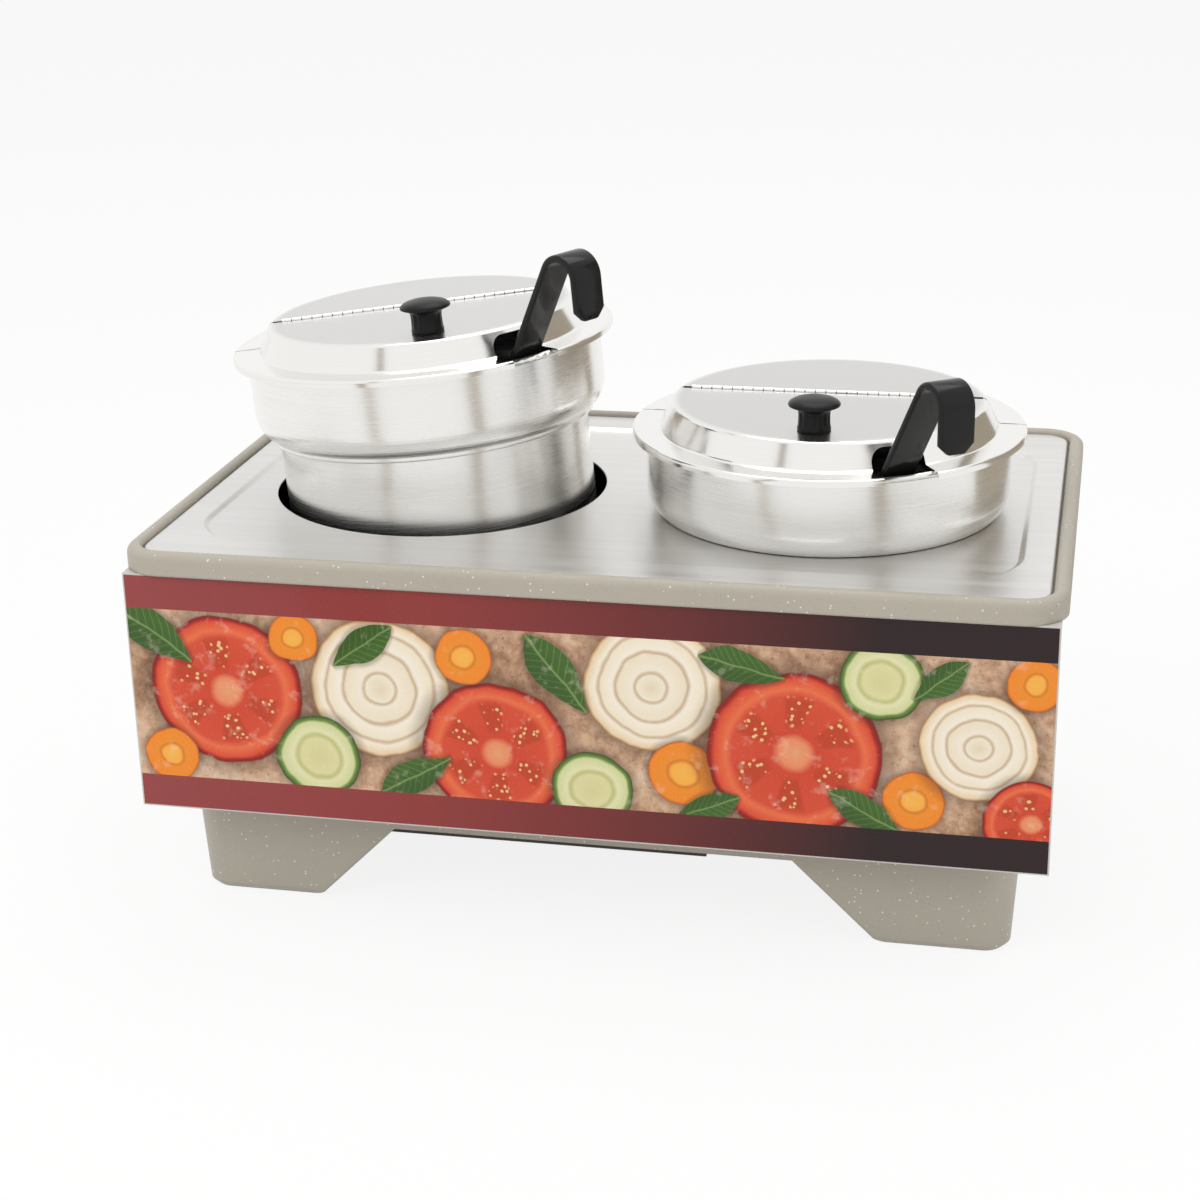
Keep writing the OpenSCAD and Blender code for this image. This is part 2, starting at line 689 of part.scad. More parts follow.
module control_box() color([0.17, 0.13, 0.11]) difference() {
    union() {
        translate([-box_left, -box_back, box_z]) cube([box_left + box_right, box_d, box_h]);
        translate([-box_left - box_flange, -box_back - box_flange, arch_h - box_t])
            cube([box_left + box_right + 2 * box_flange, box_d + 2 * box_flange, box_t]);
    }
    translate([-box_left + box_t, -box_back + box_t, box_z + box_t])
        cube([box_left + box_right - 2 * box_t, box_d - 2 * box_t, box_h]);
    for (p = box_screw_places()) translate([p[0], p[1], box_z])
        cylinder(r = screw_r + screw_play, h = far);
    on_back(thermo_x) cylinder(r = bush_r + screw_play, h = far, center = true);
    on_back(gland_x) cylinder(r = gland_r + screw_play, h = far / 4);
    on_back(gland_x) translate([0, 0, -gland_in]) cylinder(r = gland_r + screw_play, h = far / 4);
    on_back(lamp_x) translate([0, 0, -lamp_d / 2]) cylinder(r = lamp_body_r + screw_play, h = far / 4);
    translate([switch_x - switch_w / 2 + switch_rim - rocker_gap / 2, box_back - 2 * box_t,
               control_h - switch_h / 2 + switch_rim - rocker_gap / 2])
        cube([switch_w - 2 * switch_rim + rocker_gap, 4 * box_t, switch_h - 2 * switch_rim + rocker_gap]);
}

// Places the children on the box's back face, with z pointing out of it
module on_back(x) translate([x, box_back, control_h]) rotate([-90, 0, 0]) children();

// A pan-head screw that points up, its head under the origin
module screw(l) {
    translate([0, 0, -head_h]) cylinder(r = head_r, h = head_h);
    translate([0, 0, -eps]) cylinder(r = screw_r, h = l + eps);
}

module box_screws() color([0.6, 0.6, 0.6])
    for (p = box_screw_places()) translate([p[0], p[1], arch_h - box_t]) screw(box_t + floor_t - 0.5);

module thermostat() color([0.85, 0.83, 0.78]) {
    translate([thermo_x - thermo_w / 2, box_back - box_t - thermo_d, control_h - thermo_h / 2])
        cube([thermo_w, thermo_d, thermo_h]);
    on_back(thermo_x) {
        translate([0, 0, -box_t - eps]) cylinder(r = bush_r, h = box_t + dial_gap / 2);
        cylinder(r = shaft_r, h = dial_gap + dial_d - 3);
    }
}

module thermostat_dial() color([0.08, 0.08, 0.08])
    on_back(thermo_x) translate([0, 0, dial_gap]) difference() {
        union() {
            cylinder(r = dial_r, h = dial_d / 3);
            cylinder(r = dial_r * 0.8, h = dial_d - 1);
            translate([0, 0, dial_d - 1]) cylinder(r1 = dial_r * 0.8, r2 = dial_r * 0.8 - 1, h = 1);
        }
        translate([0, 0, -eps]) cylinder(r = shaft_r + dial_play, h = dial_d - 2.5);
        translate([-0.6, dial_r * 0.3, dial_d - 0.8]) cube([1.2, dial_r, 2]);
    }

module thermostat_bulb() color([0.72, 0.45, 0.25]) {
    x0 = thermo_x + cap_bend;
    y1 = box_back - box_t - thermo_d;
    z1 = control_h;
    translate([-bulb_l / 2 + strap_pitch / 2, bulb_y, rod_z]) rotate([0, 90, 0]) cylinder(r = bulb_r, h = bulb_l);
    translate([x0, bulb_y, rod_z]) rotate([0, 90, 0])
        cylinder(r = cap_r, h = strap_pitch / 2 - bulb_l / 2 - x0 + eps);
    translate([x0, bulb_y, rod_z - cap_bend]) rotate([90, 0, 0]) rotate([0, 0, 90])
        rotate_extrude(angle = 90) translate([cap_bend, 0]) circle(cap_r);
    translate([thermo_x, bulb_y, z1 + cap_bend]) cylinder(r = cap_r, h = rod_z - z1 - 2 * cap_bend);
    translate([thermo_x, bulb_y + cap_bend, z1 + cap_bend]) rotate([90, 0, 90]) rotate([0, 0, 180])
        rotate_extrude(angle = 90) translate([cap_bend, 0]) circle(cap_r);
    translate([thermo_x, bulb_y + cap_bend, z1]) rotate([-90, 0, 0])
        cylinder(r = cap_r, h = y1 - bulb_y - cap_bend);
}

module switch_housing() color([0.07, 0.07, 0.07]) difference() {
    union() {
        translate([switch_x - switch_w / 2, box_back, control_h - switch_h / 2])
            cube([switch_w, switch_rim_t, switch_h]);
        translate([switch_x - switch_w / 2 + switch_rim, box_back - switch_d, control_h - switch_h / 2 + switch_rim])
            cube([switch_w - 2 * switch_rim, switch_d + eps, switch_h - 2 * switch_rim]);
    }
    translate([switch_x, rocker_y, control_h - rocker_half()])
        cylinder(r = rocker_r + rocker_gap, h = 2 * rocker_half());
    translate([switch_x, rocker_y, control_h - rocker_half() - rocker_pin_l()])
        cylinder(r = rocker_pin_r + rocker_play, h = 2 * (rocker_half() + rocker_pin_l()));
}

// Half the height of the rocker's slot, and the length of its pivots
function rocker_half() = switch_h / 2 - switch_rim - 1.2;
function rocker_pin_l() = 1;

module switch_rocker() color([0.65, 0.06, 0.05]) {
    h = rocker_half() - rocker_gap;
    translate([switch_x, rocker_y, control_h]) {
        intersection() {
            translate([0, 0, -h]) cylinder(r = rocker_r, h = 2 * h);
            translate([-far / 2, -far / 2, -h]) cube([far, far / 2 + rocker_r * 0.6, 2 * h]);
            rotate([0, 0, rocker_tilt]) translate([-far / 2, -far / 2, -h]) cube([far, far / 2 + rocker_r * 0.5, 2 * h]);
            rotate([0, 0, -rocker_tilt]) translate([-far / 2, -far / 2, -h]) cube([far, far / 2 + rocker_r * 0.5, 2 * h]);
        }
        translate([0, 0, -h - rocker_gap - rocker_pin_l() + 0.2])
            cylinder(r = rocker_pin_r, h = 2 * (h + rocker_gap + rocker_pin_l() - 0.2));
    }
}

module pilot_lamp() color([0.95, 0.5, 0.1]) on_back(lamp_x) {
    rotate_extrude() polygon(concat([[0, 0]], [[lamp_r, 0]],
        arc([lamp_r - 2, 1], 2, 0, 90, 4), [[0, 3]]));
    translate([0, 0, -lamp_d]) cylinder(r = lamp_body_r, h = lamp_d + eps);
}

module cord_gland() color([0.1, 0.1, 0.1]) on_back(gland_x) difference() {
    union() {
        translate([0, 0, -box_t - gland_in]) cylinder(r = gland_r, h = box_t + gland_in + eps);
        cylinder(r = gland_r + 3, h = gland_out - 2);
        translate([0, 0, gland_out - 2]) cylinder(r1 = gland_r + 3, r2 = gland_r + 1, h = 2);
    }
    translate([0, 0, -box_t - gland_in - eps]) cylinder(r = gland_bore, h = far / 4);
}

module gland_nut() color([0.12, 0.12, 0.12]) on_back(gland_x)
    translate([0, 0, -box_t - gland_in * 0.6]) difference() {
        cylinder(r = gland_r + 3.5, h = gland_in * 0.6, $fn = 6);
        translate([0, 0, -eps]) cylinder(r = gland_r + screw_play, h = far / 4);
    }

module terminal_block() color([0.9, 0.88, 0.82]) difference() {
    translate([term_x - term_w / 2, -term_d / 2, box_z + box_t]) cube([term_w, term_d, term_h]);
    for (i = [-1, 0, 1]) translate([term_x + i * term_w / 3, 0, box_z + box_t + term_h / 2])
        cylinder(r = term_w / 12, h = term_h);
}

// Front panel

module front_panel() color([0.8, 0.8, 0.8]) difference() {
    union() {
        translate([-panel_w / 2, panel_y, lip_z - panel_h]) cube([panel_w, panel_t, panel_h]);
        translate([-panel_w / 2, panel_y, lip_z - panel_t]) cube([panel_w, panel_flange, panel_t]);
    }
    for (x = panel_screw_places()) translate([x, panel_screw_y, lip_z - panel_t - eps])
        cylinder(r = screw_r + screw_play, h = panel_t + 2 * eps);
}

module panel_film() color([0.62, 0.2, 0.15])
    translate([-panel_w / 2 + film_margin, panel_y - film_t, lip_z - panel_h + film_margin])
        cube([panel_w - 2 * film_margin, film_t, panel_h - 2 * film_margin]);

module panel_screws() color([0.6, 0.6, 0.6])
    for (x = panel_screw_places()) translate([x, panel_screw_y, lip_z - panel_t]) screw(panel_t + web_t - 2);

module panel_bumpers() color([0.1, 0.1, 0.1])
    for (s = [-1, 1]) translate([s * bumper_pitch / 2, panel_y + panel_t, bumper_z])
        rotate([-90, 0, 0]) cylinder(r = bumper_r, h = bumper_l);

// Adapter plate

module adapter_plate() color([0.78, 0.78, 0.77]) difference() {
    union() {
        ring_sweep(seat_x - seat_r, seat_y - seat_r)
            polygon(sheet(rounded([[seat_r - edge_r - 1, border_z, 0], [seat_r, border_z, edge_r - 0.4],
                                   [seat_r, flange_z, 0]]), -plate_t));
        ring_sweep(field_cx, field_cy)
            polygon(sheet(rounded([[field_r + 3, border_z, 0], [field_r, border_z, 2],
                                   [field_r - slope_w, plate_z, 2], [field_r - slope_w - 3, plate_z, 0]], 3),
                          plate_t));
        difference() {
            slab(seat_x - edge_r, seat_y - edge_r, seat_r - edge_r, border_z - plate_t, border_z);
            slab(field_cx + field_r + 2, field_cy + field_r + 2, field_r + 2,
                 border_z - plate_t - eps, border_z + eps);
        }
        slab(field_cx + field_r - slope_w - 2, field_cy + field_r - slope_w - 2, field_r - slope_w - 2,
             plate_z - plate_t, plate_z);
    }
    for (s = [-1, 1]) translate([s * pot_pitch / 2, 0, plate_z - far / 2]) cylinder(r = hole_r, h = far);
}

// Insets

module inset() color([0.8, 0.79, 0.77]) {
    p = concat(
        rounded([[0, -pot_depth, 0], [pot_r, -pot_depth, pot_corner], [pot_r, ledge_z0, 1],
                 [ledge_r, ledge_z0, 1.4], [ledge_r, ledge_z0 + ledge_h, 0]], 6),
        arc([shoulder_at, shoulder_z], shoulder_r, ledge_a + 4, 0, 8),
        [[band_r, pot_h - bead_r]]);
    rotate_extrude() polygon(sheet(p, pot_t));
    rotate_extrude() translate([band_r + bead_r - pot_t, pot_h - bead_r]) circle(bead_r);
}

// Lids

module lid_sheet()
    rotate_extrude() polygon(sheet(rounded([
        [0, lid_top_z, 0], [lid_top_r, lid_top_z, 3], [lid_foot_r, lid_z, 2.5],
        [lid_r, lid_z, 2], [lid_r, lid_z - lid_drop, 0]]), -lid_t));

// The cut between a lid's halves: wide along the hinge, narrow at the wall and the flange
module lid_half(s) intersection() {
    lid_sheet();
    difference() {
        translate([-far / 2, s > 0 ? hinge_y + slit / 2 : hinge_y - slit / 2 - far, 0]) cube([far, far, far]);
        translate([-hinge_half - 1, hinge_y - half_gap, lid_top_z - lid_t - 1])
            cube([2 * hinge_half + 2, 2 * half_gap, lid_t + 2]);
    }
}

// One leaf of the piano hinge: s is 1 behind and -1 in front
module hinge_leaf(s) {
    first = s > 0 ? 0 : 1;
    translate([0, hinge_y, lid_top_z]) difference() {
        union() {
            intersection() {
                translate([-pin_l / 2, s > 0 ? half_gap : -half_gap - leaf_w, -lid_t - leaf_t])
                    cube([pin_l, leaf_w, leaf_t]);
                translate([0, -hinge_y, -lid_t - leaf_t - 1]) cylinder(r = leaf_r, h = leaf_t + 2);
            }
            for (i = [first:2:knuckles - 1]) translate([-pin_l / 2 + i * knuckle_pitch + knuckle_gap / 2, 0, 0]) {
                rotate([0, 90, 0]) cylinder(r = knuckle_r, h = knuckle_pitch - knuckle_gap, $fn = 24);
                translate([0, s > 0 ? pin_r / 2 : -half_gap - 1, -lid_t - leaf_t])
                    cube([knuckle_pitch - knuckle_gap, half_gap + 1 - pin_r / 2, leaf_t]);
            }
        }
        translate([-pin_l, 0, 0]) rotate([0, 90, 0]) cylinder(r = pin_r + pin_play, h = 2 * pin_l, $fn = 24);
    }
}

module lid_rear() color([0.83, 0.83, 0.82]) lid_half(1);

// The ladle's notch, seen along its direction: a doorway with round upper corners
module notch_profile() {
    w = notch_w / 2;
    translate([-w, 0]) square([2 * w, notch_top - notch_r]);
    translate([notch_r - w, 0]) square([2 * (w - notch_r), notch_top]);
    for (s = [-1, 1]) translate([s * (w - notch_r), notch_top - notch_r]) circle(notch_r);
}

module lid_front() color([0.83, 0.83, 0.82]) difference() {
    lid_half(-1);
    rotate([0, 0, notch_dir - 90]) translate([notch_in, 0, 0]) rotate([90, 0, 90])
        linear_extrude(far) notch_profile();
    translate([0, -knob_y, 0]) cylinder(r = knob_screw_r + screw_play, h = far);
}

module hinge_rear() color([0.75, 0.75, 0.74]) hinge_leaf(1);

module hinge_front() color([0.75, 0.75, 0.74]) hinge_leaf(-1);

module hinge_pin() color([0.7, 0.7, 0.7])
    translate([-pin_l / 2, hinge_y, lid_top_z]) rotate([0, 90, 0]) cylinder(r = pin_r, h = pin_l, $fn = 24);

module lid_knob() color([0.05, 0.05, 0.05])
    translate([0, -knob_y, lid_top_z]) difference() {
        rotate_extrude() polygon(rounded([
            [0, 0, 0], [knob_foot_r, 0, 0], [knob_foot_r - 0.4, knob_h * 0.1, 0],
            [knob_foot_r - 0.6, knob_h * 0.58, 3], [knob_r, knob_h * 0.7, 1],
            [knob_r, knob_h * 0.84, 2], [knob_r * 0.5, knob_h, 6], [0, knob_h, 0]]));
        translate([0, 0, -eps]) cylinder(r = knob_screw_r + screw_play, h = knob_h * 0.6);
    }

module knob_screw() color([0.7, 0.7, 0.7])
    translate([0, -knob_y, lid_top_z - lid_t]) {
        translate([0, 0, -head_h]) cylinder(r = head_r, h = head_h);
        translate([0, 0, -eps]) cylinder(r = knob_screw_r, h = lid_t + knob_h * 0.6 - 1);
    }

// Ladles, drawn in the plane of the handle with the hook's start at the origin

// A point on the hook's drop
function on_drop(d) = [hook_r, 0] + hook_r * [-cos(hook_turn), sin(hook_turn)]
    + d * [sin(hook_turn), cos(hook_turn)];

// The handle's outline: a strip of thickness t from y0, round the hook, to the given length of its drop
module hook_path(t, y0, drop) {
    p = concat([[0, y0]], arc([hook_r, 0], hook_r, 180, 180 - hook_turn, 18), [on_drop(drop)]);
    polygon(sheet(shifted(p, -t / 2), t));
}

module ladle_strip(aside) color([0.78, 0.78, 0.78]) on_ladle(aside)
    translate([0, 0, -strip_w / 2]) linear_extrude(strip_w)
        hook_path(strip_t, -ladle_len - strip_lap, hook_drop - grip_over);

module ladle_grip(aside) color([0.05, 0.05, 0.05]) on_ladle(aside) difference() {
    translate([0, 0, -grip_w / 2]) linear_extrude(grip_w) hook_path(grip_t, -grip_len, hook_drop);
    translate([0, 0, -strip_w / 2 - grip_play]) linear_extrude(strip_w + 2 * grip_play)
        hook_path(strip_t + 2 * grip_play, -grip_len - 1, hook_drop - grip_over + grip_play);
    translate(on_drop(hook_drop)) rotate([0, 0, -hook_turn])
        for (s = [-1, 1]) translate([0, 0, s * grip_w / 2]) rotate([s * 45, 0, 0])
            translate([-grip_t, -tip_cut / sqrt(2), -2 * tip_cut]) cube([2 * grip_t, 2 * tip_cut, 4 * tip_cut]);
}

module ladle_bowl(aside) color([0.8, 0.8, 0.8]) on_ladle(aside)
    translate([-bowl_off, -ladle_len, 0]) rotate([-90, 0, 0]) rotate_extrude()
        polygon(concat([[0, -bowl_r * cos(bowl_flat)]], arc([0, 0], bowl_r, bowl_flat - 90, 0, 14),
                       arc([0, 0], bowl_r - bowl_t, 0, bowl_flat - 90, 14),
                       [[0, -(bowl_r - bowl_t) * cos(bowl_flat)]]));

// The nodes

base_shell();
well_pan();
heat_shield();
heating_rod();
rod_straps();
strap_nuts();
control_box();
box_screws();
thermostat();
thermostat_bulb();
thermostat_dial();
switch_housing();
switch_rocker();
pilot_lamp();
cord_gland();
gland_nut();
terminal_block();
front_panel();
panel_film();
panel_screws();
panel_bumpers();
adapter_plate();
at_left() inset();  // left_inset
at_left_lid() lid_rear();  // left_lid_rear
at_left_lid() hinge_rear();  // left_hinge_rear
at_left_lid() hinge_pin();  // left_hinge_pin
at_left_lid() lid_front();  // left_lid_front
at_left_lid() hinge_front();  // left_hinge_front
at_left_lid() lid_knob();  // left_lid_knob
at_left_lid() knob_screw();  // left_knob_screw
at_left_lid() ladle_bowl(left_ladle_side);  // left_ladle_bowl
at_left_lid() ladle_strip(left_ladle_side);  // left_ladle_strip
at_left_lid() ladle_grip(left_ladle_side);  // left_ladle_grip
at_right() inset();  // right_inset
at_right() lid_rear();  // right_lid_rear
at_right() hinge_rear();  // right_hinge_rear
at_right() hinge_pin();  // right_hinge_pin
at_right() lid_front();  // right_lid_front
at_right() hinge_front();  // right_hinge_front
at_right() lid_knob();  // right_lid_knob
at_right() knob_screw();  // right_knob_screw
at_right() ladle_bowl(right_ladle_side);  // right_ladle_bowl
at_right() ladle_strip(right_ladle_side);  // right_ladle_strip
at_right() ladle_grip(right_ladle_side);  // right_ladle_grip
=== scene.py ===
"""Dresses the soup station's solids with finishes, a printed panel, fluted knobs and rounded grips."""

import json
import math

import bmesh
import bpy
from mathutils import Matrix, Vector


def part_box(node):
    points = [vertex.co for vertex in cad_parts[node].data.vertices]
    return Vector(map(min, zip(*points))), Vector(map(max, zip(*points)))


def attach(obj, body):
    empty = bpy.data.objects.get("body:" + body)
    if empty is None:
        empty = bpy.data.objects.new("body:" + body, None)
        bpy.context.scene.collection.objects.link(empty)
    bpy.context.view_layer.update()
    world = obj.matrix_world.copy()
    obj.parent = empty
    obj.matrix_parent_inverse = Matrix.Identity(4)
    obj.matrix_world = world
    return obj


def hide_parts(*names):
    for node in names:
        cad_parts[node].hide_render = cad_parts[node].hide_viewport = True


bl_info = {
    "name": "Soup station dressing",
    "version": (1, 0, 0),
    "blender": (4, 5, 0),
    "location": "View3D > Sidebar > Soup station",
    "description": "Finishes, printed panel, knobs and grips for the soup station",
    "category": "Object",
}

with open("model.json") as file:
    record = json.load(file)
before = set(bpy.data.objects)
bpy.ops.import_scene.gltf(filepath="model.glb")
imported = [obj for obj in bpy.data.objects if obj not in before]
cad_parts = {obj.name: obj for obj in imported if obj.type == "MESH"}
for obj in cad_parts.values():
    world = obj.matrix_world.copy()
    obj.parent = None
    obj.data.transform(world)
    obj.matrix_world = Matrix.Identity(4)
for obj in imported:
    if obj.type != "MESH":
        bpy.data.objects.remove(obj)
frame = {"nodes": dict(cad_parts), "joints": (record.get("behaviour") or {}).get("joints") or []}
NODES = frame["nodes"]
JOINTS = {joint["name"]: joint for joint in frame["joints"]}
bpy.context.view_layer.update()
SIDES = ("left", "right")

# Camera: azimuth, elevation and roll in degrees, then millimetres for the lens and metres for its place
CAMERA_ANGLES = (12.711, 20.328, -1.184)
CAMERA_LENS = 70.19
CAMERA_SENSOR = 36.0
CAMERA_TARGET = (-0.02222, 0.0, 0.15825)
CAMERA_DISTANCE = 1.51713

# How much of the floor's picture is plain white, and the strength of the world's soft light
FLOOR_GLOW = 0.86
FLOOR_SIZE = 12.0
WORLD_LIGHT = 0.6

# Lamps: name, place, size, watts and whether metal mirrors it, and the point they all face
LAMPS = (
    ("key_left", (-1.5, -1.7, 2.0), 1.4, 24.0, False),
    ("fill_right", (1.9, -1.3, 1.3), 1.2, 9.0, False),
    ("top_soft", (0.1, 0.5, 2.4), 1.8, 20.0, True),
)
LAMP_TARGET = (0.0, 0.0, 0.2)

# Dark cards in the studio: where each starts and ends, in degrees from the front to the right, and
# their outline on the floor and up, in metres
STUDIO_CARDS = ((-27, -22), (38, 46), (104, 150))
CARD_PROFILE = ((0.62, 0.004), (2.4, 0.004), (2.4, 2.2))

# Sizes that the solids already have, in metres
LID_TOP = 0.0672
HINGE_REAR = 0.013
KNOB_FRONT = 0.07
KNOB_HEIGHT = 0.020
LADLE_DIRECTION = math.radians(36.5)
LADLE_LEAN = math.radians(32.6)
HOOK_OUT = {"left": 0.141742, "right": 0.140907}
HOOK_ASIDE = {"left": -0.009, "right": -0.013}
HOOK_UP = 0.107737
HOOK_RADIUS = 0.0125
HOOK_DROP = 0.0244
TIP_CUT = 0.006
GRIP_WIDTH = 0.0228
GRIP_THICK = 0.0044
GRIP_LENGTH = 0.078

# Details of the new meshes, in metres
FLUTES_FROM = 0.0026
FLUTES_TO = 0.0124
STEM_CORE = 0.005
TIP_ROUNDING = 0.0016
MERGE_DISTANCE = 1e-6


# Settings


class StationSizes(bpy.types.PropertyGroup):
    """Sizes of the details that are added to the solids."""

    knob_flutes: bpy.props.IntProperty(
        name="Knob flutes", description="Flutes round the knob's stem", default=12, min=6, max=36
    )
    flute_depth: bpy.props.FloatProperty(
        name="Flute depth", description="Depth of the flutes", default=0.0007, unit="LENGTH"
    )
    grip_rounding: bpy.props.FloatProperty(
        name="Grip rounding", description="Rounding of the grip's long edges", default=0.0018, unit="LENGTH"
    )
    band_height: bpy.props.FloatProperty(
        name="Band height", description="Height of the print's plain bands", default=0.0205, unit="LENGTH"
    )
    speck_size: bpy.props.FloatProperty(
        name="Speck size", description="Spacing of the specks in the resin", default=0.0016, unit="LENGTH"
    )


class StationColours(bpy.types.PropertyGroup):
    """Colours of the station's finishes."""

    resin: bpy.props.FloatVectorProperty(
        name="Resin", description="Moulded base", subtype="COLOR", size=3, default=(0.44, 0.405, 0.34)
    )
    steel: bpy.props.FloatVectorProperty(
        name="Steel", description="Insets, lids and plate", subtype="COLOR", size=3,
        default=(0.78, 0.77, 0.75)
    )
    black: bpy.props.FloatVectorProperty(
        name="Black", description="Knobs and grips", subtype="COLOR", size=3, default=(0.009, 0.009, 0.009)
    )
    maroon: bpy.props.FloatVectorProperty(
        name="Band, left", description="Print's bands at the left", subtype="COLOR", size=3,
        default=(0.30, 0.055, 0.055)
    )
    maroon_dark: bpy.props.FloatVectorProperty(
        name="Band, right", description="Print's bands at the right", subtype="COLOR", size=3,
        default=(0.020, 0.007, 0.008)
    )
    box_paint: bpy.props.FloatVectorProperty(
        name="Control box", description="Paint of the control box", subtype="COLOR", size=3,
        default=(0.045, 0.035, 0.030)
    )
    floor: bpy.props.FloatVectorProperty(
        name="Floor", description="Floor of the stage", subtype="COLOR", size=3, default=(0.90, 0.90, 0.90)
    )
    card: bpy.props.FloatVectorProperty(
        name="Cards", description="Dark cards of the stage", subtype="COLOR", size=3,
        default=(0.40, 0.35, 0.28)
    )


# Shader helpers

class Wire:
    """A shader socket that takes part in Python sums."""

    def __init__(self, finish, socket):
        self.finish = finish
        self.socket = socket

    def __add__(self, other):
        return self.finish.maths("ADD", self, other)

    def __radd__(self, other):
        return self.finish.maths("ADD", other, self)

    def __sub__(self, other):
        return self.finish.maths("SUBTRACT", self, other)

    def __rsub__(self, other):
        return self.finish.maths("SUBTRACT", other, self)

    def __mul__(self, other):
        return self.finish.maths("MULTIPLY", self, other)

    def __rmul__(self, other):
        return self.finish.maths("MULTIPLY", other, self)

    def __truediv__(self, other):
        return self.finish.maths("DIVIDE", self, other)

    def __gt__(self, other):
        return self.finish.maths("GREATER_THAN", self, other)

    def __lt__(self, other):
        return self.finish.maths("LESS_THAN", self, other)

    def __abs__(self):
        return self.finish.maths("ABSOLUTE", self)


class Nodes:
    """A tree of shader nodes and the ways to add to it."""

    def __init__(self, tree):
        self.tree = tree

    def node(self, kind, settings=None, inputs=None, out=0):
        """Adds a node, sets its settings, then its sockets, and returns one of its outputs."""
        made = self.tree.nodes.new(kind)
        for key, value in (settings or {}).items():
            if key == "stops":
                self.set_stops(made.color_ramp, value)
            else:
                setattr(made, key, value)
        for key, value in (inputs or {}).items():
            self.plug(made.inputs[key], value)
        return None if out is None else Wire(self, made.outputs[out])

    def plug(self, socket, value):
        if isinstance(value, Wire):
            self.tree.links.new(value.socket, socket)
        else:
            socket.default_value = value

    def set_stops(self, ramp, stops):
        while len(ramp.elements) < len(stops):
            ramp.elements.new(0.5)
        for element, (place, colour) in zip(ramp.elements, stops):
            element.position = place
            element.color = colour if len(colour) == 4 else (*colour, 1.0)

    def maths(self, operation, first, second=0.0, third=0.0):
        return self.node("ShaderNodeMath", {"operation": operation}, {0: first, 1: second, 2: third})

    def place(self, frame_matrix=None):
        """Object coordinates, read in a given frame."""
        here = self.node("ShaderNodeTexCoord", out="Object")
        if frame_matrix is None:
            return here
        turn = frame_matrix.to_3x3().to_euler("XYZ")
        return self.node(
            "ShaderNodeMapping",
            {"vector_type": "TEXTURE"},
            {"Vector": here, "Location": frame_matrix.translation, "Rotation": turn},
        )

    def stretched(self, vector, scale):
        return self.node(
            "ShaderNodeVectorMath", {"operation": "MULTIPLY"}, {0: vector, 1: scale}
        )

    def split(self, vector):
        first = self.node("ShaderNodeSeparateXYZ", None, {0: vector})
        outputs = first.socket.node.outputs
        return [Wire(self, outputs[i]) for i in range(3)]

    def join(self, x, y, z):
        return self.node("ShaderNodeCombineXYZ", None, {0: x, 1: y, 2: z})

    def noise(self, vector, scale, detail=2.0, roughness=0.5, out="Fac"):
        return self.node(
            "ShaderNodeTexNoise",
            None,
            {"Vector": vector, "Scale": scale, "Detail": detail, "Roughness": roughness},
            out,
        )

    def mix(self, share, first, second):
        colours = [c if isinstance(c, Wire) or len(c) == 4 else (*c, 1.0) for c in (first, second)]
        return self.node(
            "ShaderNodeMix", {"data_type": "RGBA"}, {0: share, 6: colours[0], 7: colours[1]}, 2
        )

    def ramp(self, share, stops):
        """A colour ramp's colour and alpha."""
        colour = self.node("ShaderNodeValToRGB", {"stops": stops}, {0: share})
        return colour, Wire(self, colour.socket.node.outputs["Alpha"])

    def between(self, value, low, high, start=0.0, end=1.0):
        """Maps a value smoothly from one range to another."""
        return self.node(
            "ShaderNodeMapRange",
            {"interpolation_type": "SMOOTHSTEP"},
            {"Value": value, "From Min": low, "From Max": high, "To Min": start, "To Max": end},
        )

    def bump(self, height, strength, distance, normal=None):
        inputs = {"Height": height, "Strength": strength, "Distance": distance}
        if normal is not None:
            inputs["Normal"] = normal
        return self.node("ShaderNodeBump", None, inputs)

    def soft_edges(self, radius, samples=6):
        return self.node("ShaderNodeBevel", {"samples": samples}, {"Radius": radius})

    def shown(self):
        """One for the rays that show the stage in the picture, in metal and in glass."""
        rays = self.node("ShaderNodeLightPath", out="Is Camera Ray").socket.node.outputs
        direct, glossy, through = (
            Wire(self, rays[kind]) for kind in ("Is Camera Ray", "Is Glossy Ray", "Is Transmission Ray")
        )
        return self.maths("MAXIMUM", self.maths("MAXIMUM", direct, glossy), through)


class Finish(Nodes):
    """A material with one Principled shader and the nodes that feed it."""

    def __init__(self, name, **constants):
        self.material = bpy.data.materials.new(name)
        self.material.use_nodes = True
        super().__init__(self.material.node_tree)
        self.shader = self.tree.nodes["Principled BSDF"]
        self.feed(**constants)

    def feed(self, **inputs):
        """Sets the shader's own sockets: base_color feeds Base Color."""
        for key, value in inputs.items():
            words = [word.upper() if word == "ior" else word.capitalize() for word in key.split("_")]
            socket = self.shader.inputs[" ".join(words)]
            if not isinstance(value, Wire) and hasattr(value, "__len__") and len(value) == 3:
                value = (*value, 1.0)
            self.plug(socket, value)


def paint(finish, *nodes):
    """Gives CAD nodes a finish."""
    for name in nodes:
        mesh = NODES[name].data
        mesh.materials.clear()
        mesh.materials.append(finish.material)


def both(*names):
    return [side + "_" + name for side in SIDES for name in names]


# Places


def lid_frame(side):
    """An inset's own frame: origin on its axis at seat height, z up the axis, y to the lid's rear."""
    hinge = JOINTS[side + "_flap_hinge"]
    up = Vector(JOINTS[side + "_lid_lift"]["axis"]).normalized()
    right = -Vector(hinge["axis"]).normalized()
    rear = up.cross(right)
    origin = Vector(hinge["pos_m"]) - rear * HINGE_REAR - up * LID_TOP
    found = Matrix((right, rear, up)).transposed().to_4x4()
    found.translation = origin
    return found


